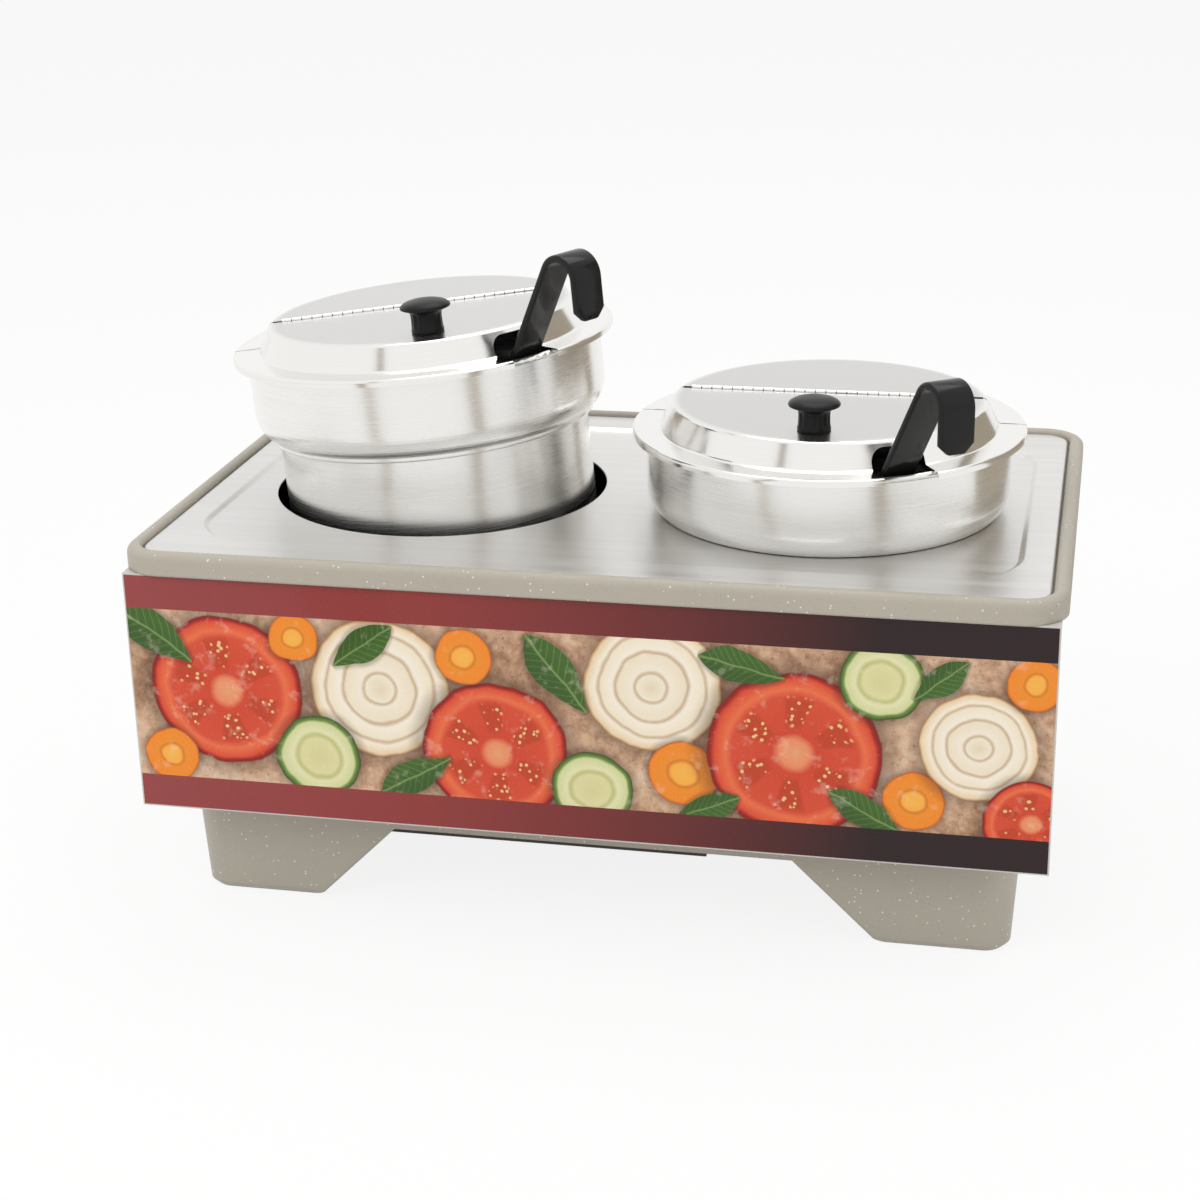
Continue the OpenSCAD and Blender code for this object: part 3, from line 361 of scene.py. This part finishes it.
def ladle_frame(side):
    """A ladle's own frame: origin where its hook starts, y up the handle, x out from the inset."""
    out = Vector((math.sin(LADLE_DIRECTION), -math.cos(LADLE_DIRECTION), 0.0))
    across = Vector((math.cos(LADLE_DIRECTION), math.sin(LADLE_DIRECTION), 0.0))
    rise = Vector((0.0, 0.0, 1.0))
    along = out * math.sin(LADLE_LEAN) + rise * math.cos(LADLE_LEAN)
    away = out * math.cos(LADLE_LEAN) - rise * math.sin(LADLE_LEAN)
    local = Matrix((away, along, away.cross(along))).transposed().to_4x4()
    local.translation = out * HOOK_OUT[side] + across * HOOK_ASIDE[side] + rise * HOOK_UP
    return lid_frame(side) @ local


# Finishes


def speckled_resin(colours, sizes):
    finish = Finish("speckled_resin", specular_ior_level=0.45)
    here = finish.place()
    grain = finish.noise(here, 900.0, 3.0, 0.6)
    cloud = finish.noise(here, 9.0, 3.0, 0.5)
    base = Vector(colours.resin)
    colour = finish.mix(cloud, (*(base * 0.94), 1.0), (*(base * 1.06), 1.0))
    colour = finish.mix(finish.between(grain, 0.35, 0.65, 0.0, 0.12), colour, (*(base * 0.72), 1.0))
    for spacing, share, strength, tone in (
        (2.1, 0.70, 0.85, (0.84, 0.81, 0.74)),
        (1.2, 0.78, 0.55, (0.66, 0.62, 0.55)),
        (1.5, 0.84, 0.40, (0.17, 0.15, 0.12)),
    ):
        shifted = finish.node(
            "ShaderNodeVectorMath", {"operation": "ADD"}, {0: here, 1: (share * 3.1, spacing * 1.7, share)}
        )
        cells = finish.node(
            "ShaderNodeTexVoronoi", None, {"Vector": shifted, "Scale": 1.0 / (sizes.speck_size * spacing)}
        )
        chosen = finish.split(Wire(finish, cells.socket.node.outputs["Color"]))[0] > share
        colour = finish.mix(chosen * finish.between(cells, 0.11, 0.21, strength, 0.0), colour, tone)
    rough = finish.between(grain, 0.3, 0.7, 0.40, 0.52)
    skin = finish.bump(grain, 0.10, 0.0004, finish.soft_edges(0.0022))
    finish.feed(base_color=colour, roughness=rough, normal=skin)
    return finish


def brushed_round(name, colours, side, tone=1.12, rough=(0.20, 0.30)):
    """Steel that is brushed round an inset's axis."""
    finish = Finish(name, metallic=1.0, anisotropic=0.75, anisotropic_rotation=0.25)
    here = finish.place(lid_frame(side))
    fine = finish.noise(finish.stretched(here, (9.0, 9.0, 3600.0)), 1.0, 3.0, 0.65)
    steel = Vector(colours.steel) * tone
    colour = finish.mix(finish.between(fine, 0.3, 0.7), (*(steel * 0.95), 1.0), (*(steel * 1.05), 1.0))
    roughness = finish.between(fine, 0.3, 0.7, *rough)
    finish.feed(base_color=colour, roughness=roughness, normal=finish.bump(fine, 0.03, 0.0001))
    return finish


def polished_lid(colours, side):
    finish = Finish("polished_lid_" + side, metallic=1.0)
    here = finish.place(lid_frame(side))
    x, y, z = finish.split(here)
    away = finish.maths("SQRT", x * x + y * y)
    rings = finish.noise(finish.join(away * 2600.0, z * 1200.0, 0.0), 1.0, 2.0, 0.6)
    smear = finish.noise(finish.stretched(here, (22.0, 9.0, 22.0)), 1.0, 3.0, 0.55)
    top = finish.between(away, 0.090, 0.097, 1.0, 0.0)
    steel = Vector(colours.steel)
    matt = finish.mix(rings, (*(steel * 0.77), 1.0), (*(steel * 0.83), 1.0))
    bright = finish.mix(rings, (*(steel * 1.08), 1.0), (*(steel * 1.15), 1.0))
    colour = finish.mix(top, bright, matt)
    roughness = 0.10 + top * 0.10 + smear * 0.06 + rings * 0.03
    finish.feed(base_color=colour, roughness=roughness, normal=finish.bump(rings, 0.02, 0.0001))
    return finish


def brushed_plate(colours):
    """Sheet steel that is brushed along the station's width."""
    finish = Finish("brushed_plate", metallic=1.0)
    here = finish.place()
    fine = finish.noise(finish.stretched(here, (7.0, 2400.0, 900.0)), 1.0, 3.0, 0.65)
    wide = finish.noise(finish.stretched(here, (3.0, 120.0, 120.0)), 1.0, 2.0, 0.5)
    smear = finish.noise(here, 7.0, 3.0, 0.5)
    steel = Vector(colours.steel) * 0.93
    streak = fine * 0.65 + wide * 0.35
    colour = finish.mix(finish.between(streak, 0.3, 0.7), (*(steel * 0.92), 1.0), (*(steel * 1.06), 1.0))
    roughness = finish.between(streak, 0.3, 0.7, 0.24, 0.36) + smear * 0.08
    skin = finish.bump(fine, 0.06, 0.0002, finish.soft_edges(0.0008, 4))
    finish.feed(base_color=colour, roughness=roughness, normal=skin)
    return finish


def plain_steel(name, colours, tone=1.0, rough=0.3):
    finish = Finish(name, metallic=1.0)
    here = finish.place()
    grain = finish.noise(here, 420.0, 4.0, 0.6)
    steel = Vector(colours.steel) * tone
    colour = finish.mix(grain, (*(steel * 0.9), 1.0), (*(steel * 1.05), 1.0))
    roughness = finish.between(grain, 0.3, 0.7, rough - 0.06, rough + 0.08)
    finish.feed(base_color=colour, roughness=roughness, normal=finish.bump(grain, 0.05, 0.0001))
    return finish


def moulded_black(name, colours, rough, coat=0.0, grain_size=0.0006):
    finish = Finish(name, coat_weight=coat, coat_roughness=0.08, specular_ior_level=0.16)
    here = finish.place()
    grain = finish.noise(here, 1.0 / grain_size, 3.0, 0.6)
    wave = finish.noise(here, 60.0, 2.0, 0.5)
    black = Vector(colours.black)
    colour = finish.mix(grain, (*(black * 0.75), 1.0), (*(black * 1.5), 1.0))
    roughness = finish.between(wave, 0.3, 0.7, rough - 0.05, rough + 0.06)
    finish.feed(base_color=colour, roughness=roughness, normal=finish.bump(grain, 0.06, 0.0001))
    return finish


def painted(name, colour, rough=0.45, grain_size=0.0009, metallic=0.0, edge=0.0006):
    """A plain paint or moulding with a fine grain."""
    finish = Finish(name, metallic=metallic, specular_ior_level=0.45)
    here = finish.place()
    grain = finish.noise(here, 1.0 / grain_size, 3.0, 0.6)
    cloud = finish.noise(here, 16.0, 3.0, 0.5)
    base = Vector(colour)
    tone = finish.mix(cloud * 0.6 + grain * 0.4, (*(base * 0.86), 1.0), (*(base * 1.14), 1.0))
    roughness = finish.between(grain, 0.3, 0.7, rough - 0.06, rough + 0.08)
    skin = finish.bump(grain, 0.10, 0.0002, finish.soft_edges(edge, 4))
    finish.feed(base_color=tone, roughness=roughness, normal=skin)
    return finish


# Print of the front panel

TOMATO = (
    (0.00, (0.78, 0.34, 0.16)), (0.13, (0.80, 0.26, 0.12)), (0.20, (0.62, 0.06, 0.025)),
    (0.58, (0.66, 0.075, 0.03)), (0.64, (0.80, 0.16, 0.06)), (0.74, (0.70, 0.075, 0.03)),
    (0.775, (0.34, 0.012, 0.008)), (0.80, (0.22, 0.010, 0.006)), (0.815, (0.06, 0.02, 0.012, 0.55)),
    (1.00, (0.06, 0.02, 0.012, 0.0)),
)
ONION = (
    (0.00, (0.78, 0.66, 0.46)), (0.16, (0.86, 0.78, 0.62)), (0.19, (0.60, 0.44, 0.28)),
    (0.23, (0.88, 0.80, 0.66)), (0.40, (0.84, 0.74, 0.56)), (0.43, (0.58, 0.42, 0.27)),
    (0.47, (0.90, 0.83, 0.70)), (0.60, (0.86, 0.76, 0.58)), (0.63, (0.60, 0.44, 0.28)),
    (0.67, (0.90, 0.82, 0.68)), (0.77, (0.80, 0.62, 0.38)), (0.80, (0.42, 0.22, 0.09)),
    (0.815, (0.06, 0.02, 0.012, 0.5)), (1.00, (0.06, 0.02, 0.012, 0.0)),
)
CARROT = (
    (0.00, (0.90, 0.46, 0.08)), (0.26, (0.92, 0.42, 0.06)), (0.34, (0.66, 0.19, 0.016)),
    (0.40, (0.84, 0.27, 0.022)), (0.74, (0.86, 0.25, 0.02)), (0.80, (0.52, 0.11, 0.012)),
    (0.815, (0.06, 0.02, 0.012, 0.5)), (1.00, (0.06, 0.02, 0.012, 0.0)),
)
COURGETTE = (
    (0.00, (0.66, 0.62, 0.30)), (0.34, (0.72, 0.68, 0.36)), (0.42, (0.52, 0.52, 0.20)),
    (0.50, (0.76, 0.74, 0.44)), (0.68, (0.62, 0.66, 0.32)), (0.725, (0.16, 0.26, 0.05)),
    (0.80, (0.035, 0.085, 0.014)), (0.815, (0.05, 0.02, 0.012, 0.5)), (1.00, (0.05, 0.02, 0.012, 0.0)),
)
SLICES = (
    (ONION, -0.118, 0.160, 0.043), (TOMATO, -0.214, 0.152, 0.047), (COURGETTE, -0.158, 0.113, 0.026),
    (CARROT, -0.252, 0.107, 0.017), (TOMATO, -0.048, 0.124, 0.044), (CARROT, -0.066, 0.183, 0.017),
    (ONION, 0.046, 0.172, 0.040), (COURGETTE, 0.010, 0.104, 0.024), (CARROT, 0.064, 0.119, 0.020),
    (TOMATO, 0.128, 0.136, 0.050), (COURGETTE, 0.178, 0.184, 0.024), (CARROT, 0.196, 0.112, 0.018),
    (ONION, 0.232, 0.148, 0.033), (TOMATO, 0.262, 0.103, 0.026), (CARROT, 0.262, 0.188, 0.016),
    (CARROT, -0.170, 0.188, 0.015),
)
LEAVES = (
    (-0.258, 0.186, 0.6, 0.030), (-0.098, 0.105, -0.5, 0.026), (-0.010, 0.176, 0.9, 0.030),
    (0.078, 0.098, 2.7, 0.022), (0.098, 0.188, 0.2, 0.026), (0.210, 0.186, 2.4, 0.020),
    (-0.128, 0.186, 2.5, 0.024), (0.168, 0.103, 0.5, 0.024),
)


def print_slice(finish, under, where, front, stops, x, z, radius):
    """Lays one round slice, with its soft shadow, over what is printed already."""
    away = finish.node(
        "ShaderNodeVectorMath", {"operation": "DISTANCE"}, {0: where, 1: (x, front, z)}, "Value"
    )
    share = away * (0.8 / radius)
    colour, cover = finish.ramp(share, stops)
    if stops is TOMATO:
        across, _, up = finish.split(where)
        angle = finish.maths("ARCTAN2", up - z, across - x)
        wedge = finish.maths("SINE", angle * 6.0 + x * 40.0)
        inside = finish.between(wedge, -0.25, 0.35) * finish.between(share, 0.22, 0.30)
        inside = inside * finish.between(share, 0.52, 0.60, 1.0, 0.0)
        seeds = finish.node("ShaderNodeTexVoronoi", None, {"Vector": where, "Scale": 260.0})
        gel = finish.mix(finish.between(seeds, 0.22, 0.34, 1.0, 0.0), (0.50, 0.05, 0.015), (0.86, 0.62, 0.28))
        colour = finish.mix(inside * 0.85, colour, gel)
    return finish.mix(cover, under, colour)


def print_leaf(finish, under, where, front, x, z, turn, length):
    """Lays one leaf with a midrib and veins over what is printed already."""
    laid = finish.node(
        "ShaderNodeMapping",
        {"vector_type": "TEXTURE"},
        {"Vector": where, "Location": (x, front, z), "Rotation": (0.0, turn, 0.0), "Scale": (length,) * 3},
    )
    along, _, across = finish.split(laid)
    wide = abs(across)
    edge = finish.maths("MAXIMUM", 1.0 - along * along, 0.0) * (0.42 - along * 0.12)
    within = abs(along) < 1.0
    cover = finish.between(edge - wide, 0.0, 0.02) * within
    shade = finish.between(edge - wide, -0.16, 0.0, 0.0, 0.45) * within
    veins = finish.maths("SINE", (along + wide * 0.9) * 34.0)
    colour = finish.mix(finish.between(veins, 0.72, 1.0, 0.0, 0.5), (0.055, 0.13, 0.022), (0.16, 0.27, 0.06))
    colour = finish.mix(finish.between(wide, 0.012, 0.035, 0.8, 0.0), colour, (0.24, 0.36, 0.11))
    colour = finish.mix(finish.between(across, -0.3, 0.3, 0.35, 0.0), colour, (0.015, 0.045, 0.008))
    shaded = finish.mix(shade, under, (0.05, 0.02, 0.012))
    return finish.mix(cover, shaded, colour)


def printed_film(colours, sizes):
    """Sliced vegetables and leaves on a stone worktop between two plain bands."""
    low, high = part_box("panel_film")
    finish = Finish("printed_film", coat_weight=0.22, coat_roughness=0.06, specular_ior_level=0.2)
    here = finish.place()
    x, _, z = finish.split(here)
    drift = finish.noise(here, 38.0, 2.0, 0.5, "Color")
    drift = finish.node("ShaderNodeVectorMath", {"operation": "SUBTRACT"}, {0: drift, 1: (0.5, 0.5, 0.5)})
    where = finish.node(
        "ShaderNodeVectorMath",
        {"operation": "MULTIPLY_ADD"},
        {0: drift, 1: (0.0065, 0.0, 0.0065), 2: here},
    )
    cloud = finish.noise(here, 17.0, 5.0, 0.62)
    grit = finish.noise(here, 170.0, 4.0, 0.65)
    picture, _ = finish.ramp(
        cloud * 0.62 + grit * 0.38,
        (
            (0.30, (0.17, 0.080, 0.040)), (0.42, (0.42, 0.235, 0.135)), (0.52, (0.62, 0.40, 0.255)),
            (0.60, (0.70, 0.50, 0.36)), (0.72, (0.82, 0.68, 0.54)),
        ),
    )
    pits = finish.noise(here, 420.0, 2.0, 0.5)
    picture = finish.mix(finish.between(pits, 0.60, 0.70, 0.0, 0.5), picture, (0.20, 0.095, 0.05))
    for stops, across, up, radius in SLICES:
        picture = print_slice(finish, picture, where, low.y, stops, across, up, radius)
    for across, up, turn, length in LEAVES:
        picture = print_leaf(finish, picture, where, low.y, across, up, turn, length)
    gloss = finish.between(finish.noise(here, 120.0, 3.0, 0.6), 0.56, 0.72, 0.0, 0.16)
    picture = finish.mix(gloss, picture, (1.0, 0.88, 0.72))
    share = (x - low.x) / (high.x - low.x)
    band, _ = finish.ramp(
        share,
        (
            (0.0, colours.maroon), (0.34, (0.27, 0.038, 0.034)), (0.62, (0.13, 0.020, 0.020)),
            (0.82, colours.maroon_dark), (1.0, colours.maroon_dark),
        ),
    )
    inside = (z > low.z + sizes.band_height) * (z < high.z - sizes.band_height)
    paper = finish.noise(here, 700.0, 2.0, 0.5)
    colour = finish.mix(inside, band, picture)
    roughness = finish.between(paper, 0.3, 0.7, 0.22, 0.32)
    finish.feed(base_color=colour, roughness=roughness, normal=finish.bump(paper, 0.015, 0.0001))
    return finish


# New pieces


def new_piece(name, bm, matrix, finish, body, slot, *replaced):
    """Makes an object of a mesh that is placed by a matrix, parents it to its body and hides the parts it
    replaces.
    """
    bm.transform(matrix)
    mesh = bpy.data.meshes.new(name)
    bm.to_mesh(mesh)
    bm.free()
    mesh.polygons.foreach_set("use_smooth", [True] * len(mesh.polygons))
    mesh.materials.append(finish.material)
    piece = bpy.data.objects.new(name, mesh)
    bpy.context.scene.collection.objects.link(piece)
    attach(piece, body)
    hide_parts(*replaced)
    return piece


def knob_shape(sizes):
    """A mushroom knob with a fluted stem, standing on its origin."""
    bm = bmesh.new()
    profile = (
        (0.0, 0.0), (0.0096, 0.0), (0.0100, 0.0005), (0.0100, 0.0016), (0.0097, 0.0024), (0.0095, 0.0050),
        (0.0094, 0.0090), (0.0096, 0.0112), (0.0103, 0.0126), (0.0117, 0.0136), (0.0141, 0.0144),
        (0.0152, 0.0149), (0.0155, 0.0156), (0.0153, 0.0163), (0.0144, 0.0173), (0.0124, 0.0184),
        (0.0093, 0.0193), (0.0052, 0.0198), (0.0, KNOB_HEIGHT),
    )
    points = [bm.verts.new((radius, 0.0, height)) for radius, height in profile]
    edges = [bm.edges.new(pair) for pair in zip(points, points[1:])]
    steps = sizes.knob_flutes * 6
    bmesh.ops.spin(
        bm, geom=points + edges, cent=(0.0, 0.0, 0.0), axis=(0.0, 0.0, 1.0), angle=math.tau,
        steps=steps, use_merge=True,
    )
    bmesh.ops.remove_doubles(bm, verts=bm.verts[:], dist=MERGE_DISTANCE)
    for vert in bm.verts:
        radius = math.hypot(vert.co.x, vert.co.y)
        if FLUTES_FROM < vert.co.z < FLUTES_TO and radius > STEM_CORE:
            angle = math.atan2(vert.co.y, vert.co.x)
            dip = sizes.flute_depth * (0.5 - 0.5 * math.cos(angle * sizes.knob_flutes))
            vert.co.x *= (radius - dip) / radius
            vert.co.y *= (radius - dip) / radius
    bmesh.ops.recalc_face_normals(bm, faces=bm.faces[:])
    return bm


def grip_shape(sizes):
    """A dipped sleeve that runs up the handle, over the hook and down to a rounded tip."""
    bm = bmesh.new()
    bmesh.ops.create_grid(bm, x_segments=1, y_segments=1, size=0.5)
    lay = Matrix(((GRIP_THICK, 0, 0, 0), (0, 0, 1, -GRIP_LENGTH), (0, GRIP_WIDTH, 0, 0), (0, 0, 0, 1)))
    bmesh.ops.transform(bm, matrix=lay, verts=bm.verts[:])
    bmesh.ops.bevel(
        bm, geom=bm.verts[:], offset=sizes.grip_rounding, segments=4, profile=0.5, affect="VERTICES",
        material=-1,
    )
    face = bm.faces[:][0]

    def grow(face, step):
        made = bmesh.ops.extrude_face_region(bm, geom=[face])
        top = [item for item in made["geom"] if isinstance(item, bmesh.types.BMFace)]
        moved = [item for item in made["geom"] if isinstance(item, bmesh.types.BMVert)]
        bmesh.ops.translate(bm, vec=step, verts=moved)
        return top[0]

    for _ in range(6):
        face = grow(face, Vector((0.0, GRIP_LENGTH / 6, 0.0)))
    made = bmesh.ops.spin(
        bm, geom=[face, *face.edges, *face.verts], cent=(HOOK_RADIUS, 0.0, 0.0), axis=(0.0, 0.0, -1.0),
        angle=math.pi - LADLE_LEAN, steps=24,
    )
    face = [item for item in made["geom_last"] if isinstance(item, bmesh.types.BMFace)][0]
    heading = Vector((math.sin(math.pi - LADLE_LEAN), math.cos(math.pi - LADLE_LEAN), 0.0))
    for _ in range(3):
        face = grow(face, heading * (HOOK_DROP - TIP_CUT) / 3)
    face = grow(face, heading * TIP_CUT)
    bmesh.ops.scale(bm, vec=(1.0, 1.0, 1.0 - 2.0 * TIP_CUT / GRIP_WIDTH), verts=face.verts[:])
    inner = [each for each in bm.faces if all(len(edge.link_faces) > 2 for edge in each.edges)]
    bmesh.ops.delete(bm, geom=inner, context="FACES_ONLY")
    rim = [*face.edges]
    bmesh.ops.bevel(
        bm, geom=rim, offset=TIP_ROUNDING, segments=4, profile=0.5, affect="EDGES", material=-1
    )
    bmesh.ops.remove_doubles(bm, verts=bm.verts[:], dist=MERGE_DISTANCE)
    bmesh.ops.recalc_face_normals(bm, faces=bm.faces[:])
    return bm


# Operators


class SOUP_OT_stage(bpy.types.Operator):
    """Makes the floor, the light and the camera."""

    bl_idname = "soup.stage"
    bl_label = "Stage"

    def execute(self, context):
        colours = context.scene.soup_colours
        self.make_camera(context)
        self.make_floor(colours)
        self.make_cards(context, colours)
        self.make_light(context)
        return {"FINISHED"}

    def make_camera(self, context):
        azimuth, elevation, roll = (math.radians(angle) for angle in CAMERA_ANGLES)
        level = math.cos(elevation)
        back = Vector((math.sin(azimuth) * level, -math.cos(azimuth) * level, math.sin(elevation)))
        right = (-back).cross(Vector((0.0, 0.0, 1.0))).normalized()
        up = right.cross(-back)
        right = right * math.cos(roll) + up * math.sin(roll)
        lens = bpy.data.cameras.new("photo_view")
        lens.lens = CAMERA_LENS
        lens.sensor_width = CAMERA_SENSOR
        camera = bpy.data.objects.new("photo_view", lens)
        pose = Matrix((right, back.cross(right), back)).transposed().to_4x4()
        pose.translation = Vector(CAMERA_TARGET) + back * CAMERA_DISTANCE
        camera.matrix_world = pose
        context.scene.collection.objects.link(camera)
        context.scene.camera = camera

    def make_floor(self, colours):
        finish = Finish("studio_floor", specular_ior_level=0.0, roughness=0.9)
        here = finish.place()
        cloud = finish.noise(here, 1.5, 2.0, 0.5)
        tone = Vector(colours.floor)
        finish.feed(base_color=finish.mix(cloud, (*(tone * 0.985), 1.0), (*(tone * 1.01), 1.0)))
        bright = finish.node("ShaderNodeEmission", None, {"Color": (1.0, 1.0, 1.0, 1.0), "Strength": 1.0})
        lit = Wire(finish, finish.shader.outputs[0])
        mixed = finish.node("ShaderNodeMixShader", None, {0: finish.shown() * FLOOR_GLOW, 1: lit, 2: bright})
        finish.plug(finish.tree.nodes["Material Output"].inputs["Surface"], mixed)
        bm = bmesh.new()
        bmesh.ops.create_grid(bm, x_segments=1, y_segments=1, size=FLOOR_SIZE)
        mesh = bpy.data.meshes.new("studio_floor")
        bm.to_mesh(mesh)
        bm.free()
        mesh.materials.append(finish.material)
        floor = bpy.data.objects.new("studio_floor", mesh)
        bpy.context.scene.collection.objects.link(floor)

    def make_cards(self, context, colours):
        """Lays plain dark cards round the studio, which the steel shows as soft bands."""
        finish = painted("studio_card", colours.card, 0.9)
        for start, end in STUDIO_CARDS:
            bm = bmesh.new()
            points = [bm.verts.new((0.0, -away, up)) for away, up in CARD_PROFILE]
            edges = [bm.edges.new(pair) for pair in zip(points, points[1:])]
            bm.transform(Matrix.Rotation(math.radians(start), 4, "Z"))
            bmesh.ops.spin(
                bm, geom=points + edges, cent=(0.0, 0.0, 0.0), axis=(0.0, 0.0, 1.0),
                angle=math.radians(end - start), steps=8,
            )
            mesh = bpy.data.meshes.new("studio_card")
            bm.to_mesh(mesh)
            bm.free()
            mesh.materials.append(finish.material)
            card = bpy.data.objects.new("studio_card", mesh)
            card.visible_camera = False
            card.visible_diffuse = False
            card.visible_shadow = False
            context.scene.collection.objects.link(card)

    def make_light(self, context):
        world = bpy.data.worlds.new("studio")
        world.use_nodes = True
        context.scene.world = world
        world.node_tree.nodes.clear()
        nodes = Nodes(world.node_tree)
        soft = nodes.node(
            "ShaderNodeBackground", None, {"Color": (1.0, 0.99, 0.97, 1.0), "Strength": WORLD_LIGHT}
        )
        bright = nodes.node("ShaderNodeBackground", None, {"Color": (1.0, 1.0, 1.0, 1.0), "Strength": 1.0})
        mixed = nodes.node("ShaderNodeMixShader", None, {0: nodes.shown(), 1: soft, 2: bright})
        nodes.node("ShaderNodeOutputWorld", None, {"Surface": mixed}, None)
        context.scene.view_settings.view_transform = "Standard"
        for name, place, size, watts, in_metal in LAMPS:
            lamp = bpy.data.lights.new(name, "AREA")
            lamp.size = size
            lamp.energy = watts
            holder = bpy.data.objects.new(name, lamp)
            holder.location = place
            holder.visible_glossy = in_metal
            aim = Vector(LAMP_TARGET) - Vector(place)
            holder.rotation_euler = aim.to_track_quat("-Z", "Y").to_euler()
            context.scene.collection.objects.link(holder)


class SOUP_OT_base(bpy.types.Operator):
    """Finishes the moulded base and the well."""

    bl_idname = "soup.base"
    bl_label = "Base and well"

    def execute(self, context):
        colours, sizes = context.scene.soup_colours, context.scene.soup_sizes
        paint(speckled_resin(colours, sizes), "base_shell")
        paint(painted("well_coating", (0.018, 0.018, 0.019), 0.42, 0.0012), "well_pan")
        return {"FINISHED"}


class SOUP_OT_controls(bpy.types.Operator):
    """Finishes the control box, its controls and the heating parts."""

    bl_idname = "soup.controls"
    bl_label = "Controls and heating"

    def execute(self, context):
        colours = context.scene.soup_colours
        paint(painted("box_paint", colours.box_paint, 0.5), "control_box")
        zinc = plain_steel("zinc", colours, 0.85, 0.36)
        paint(zinc, "heat_shield", "rod_straps", "strap_nuts", "box_screws", "panel_screws")
        paint(painted("oxidised_sheath", (0.11, 0.10, 0.095), 0.5, metallic=0.8), "heating_rod")
        paint(painted("ceramic", (0.70, 0.66, 0.58), 0.55), "thermostat", "terminal_block")
        paint(painted("copper_tube", (0.60, 0.30, 0.16), 0.35, metallic=1.0), "thermostat_bulb")
        black = moulded_black("control_black", colours, 0.45)
        paint(black, "thermostat_dial", "switch_housing", "cord_gland", "gland_nut")
        paint(painted("rocker_red", (0.42, 0.018, 0.014), 0.3), "switch_rocker")
        paint(painted("lamp_amber", (0.75, 0.24, 0.02), 0.2), "pilot_lamp")
        return {"FINISHED"}


class SOUP_OT_panel(bpy.types.Operator):
    """Finishes the front panel and prints its film."""

    bl_idname = "soup.panel"
    bl_label = "Front panel"

    def execute(self, context):
        colours, sizes = context.scene.soup_colours, context.scene.soup_sizes
        paint(printed_film(colours, sizes), "panel_film")
        paint(painted("panel_white", (0.62, 0.60, 0.57), 0.38, edge=0.0004), "front_panel")
        paint(painted("bumper_rubber", (0.02, 0.02, 0.02), 0.7), "panel_bumpers")
        return {"FINISHED"}


class SOUP_OT_steel(bpy.types.Operator):
    """Finishes the adapter plate, the insets, the lids and the ladles' steel."""

    bl_idname = "soup.steel"
    bl_label = "Plate, insets and lids"

    def execute(self, context):
        colours = context.scene.soup_colours
        paint(brushed_plate(colours), "adapter_plate")
        for side in SIDES:
            paint(brushed_round("brushed_inset_" + side, colours, side), side + "_inset")
            paint(polished_lid(colours, side), side + "_lid_front", side + "_lid_rear")
        hinge = plain_steel("hinge_steel", colours, 1.15, 0.18)
        paint(hinge, *both("hinge_rear", "hinge_front", "knob_screw"))
        # The hinge pins are painted dark so that the gaps between the knuckles show as dark ticks: painted
        # shade in the gaps
        paint(painted("pin_painted_shade", (0.16, 0.15, 0.14), 0.4, metallic=0.9), *both("hinge_pin"))
        paint(plain_steel("ladle_steel", colours, 1.0, 0.28), *both("ladle_bowl", "ladle_strip"))
        return {"FINISHED"}


class SOUP_OT_knobs(bpy.types.Operator):
    """Models the lids' fluted knobs."""

    bl_idname = "soup.knobs"
    bl_label = "Lid knobs"

    def execute(self, context):
        colours, sizes = context.scene.soup_colours, context.scene.soup_sizes
        finish = moulded_black("knob_black", colours, 0.32)
        for side in SIDES:
            place = lid_frame(side) @ Matrix.Translation((0.0, -KNOB_FRONT, LID_TOP))
            new_piece(
                side + "_fluted_knob", knob_shape(sizes), place, finish, side + "_flap", "knob_black",
                side + "_lid_knob",
            )
        return {"FINISHED"}


class SOUP_OT_grips(bpy.types.Operator):
    """Models the ladles' dipped grips."""

    bl_idname = "soup.grips"
    bl_label = "Ladle grips"

    def execute(self, context):
        colours, sizes = context.scene.soup_colours, context.scene.soup_sizes
        finish = moulded_black("grip_black", colours, 0.20, 0.12, 0.0012)
        for side in SIDES:
            new_piece(
                side + "_dipped_grip", grip_shape(sizes), ladle_frame(side), finish, side + "_ladle",
                "grip_black", side + "_ladle_grip",
            )
        return {"FINISHED"}


class SOUP_PT_sidebar(bpy.types.Panel):
    """Lists the station's settings and steps."""

    bl_idname = "SOUP_PT_sidebar"
    bl_label = "Soup station"
    bl_space_type = "VIEW_3D"
    bl_region_type = "UI"
    bl_category = "Soup station"

    def draw(self, context):
        for group in (context.scene.soup_sizes, context.scene.soup_colours):
            for key in group.__annotations__:
                self.layout.prop(group, key)
        for step in STEPS:
            self.layout.operator(step.bl_idname)


STEPS = (
    SOUP_OT_stage,
    SOUP_OT_base,
    SOUP_OT_controls,
    SOUP_OT_panel,
    SOUP_OT_steel,
    SOUP_OT_knobs,
    SOUP_OT_grips,
)
CLASSES = (StationSizes, StationColours, *STEPS, SOUP_PT_sidebar)


def register():
    for each in CLASSES:
        bpy.utils.register_class(each)
    bpy.types.Scene.soup_sizes = bpy.props.PointerProperty(type=StationSizes)
    bpy.types.Scene.soup_colours = bpy.props.PointerProperty(type=StationColours)


def unregister():
    del bpy.types.Scene.soup_colours
    del bpy.types.Scene.soup_sizes
    for each in reversed(CLASSES):
        bpy.utils.unregister_class(each)


def main():
    register()
    bpy.ops.soup.stage()
    bpy.ops.soup.base()
    bpy.ops.soup.controls()
    bpy.ops.soup.panel()
    bpy.ops.soup.steel()
    bpy.ops.soup.knobs()
    bpy.ops.soup.grips()


if __name__ == "__main__":
    main()
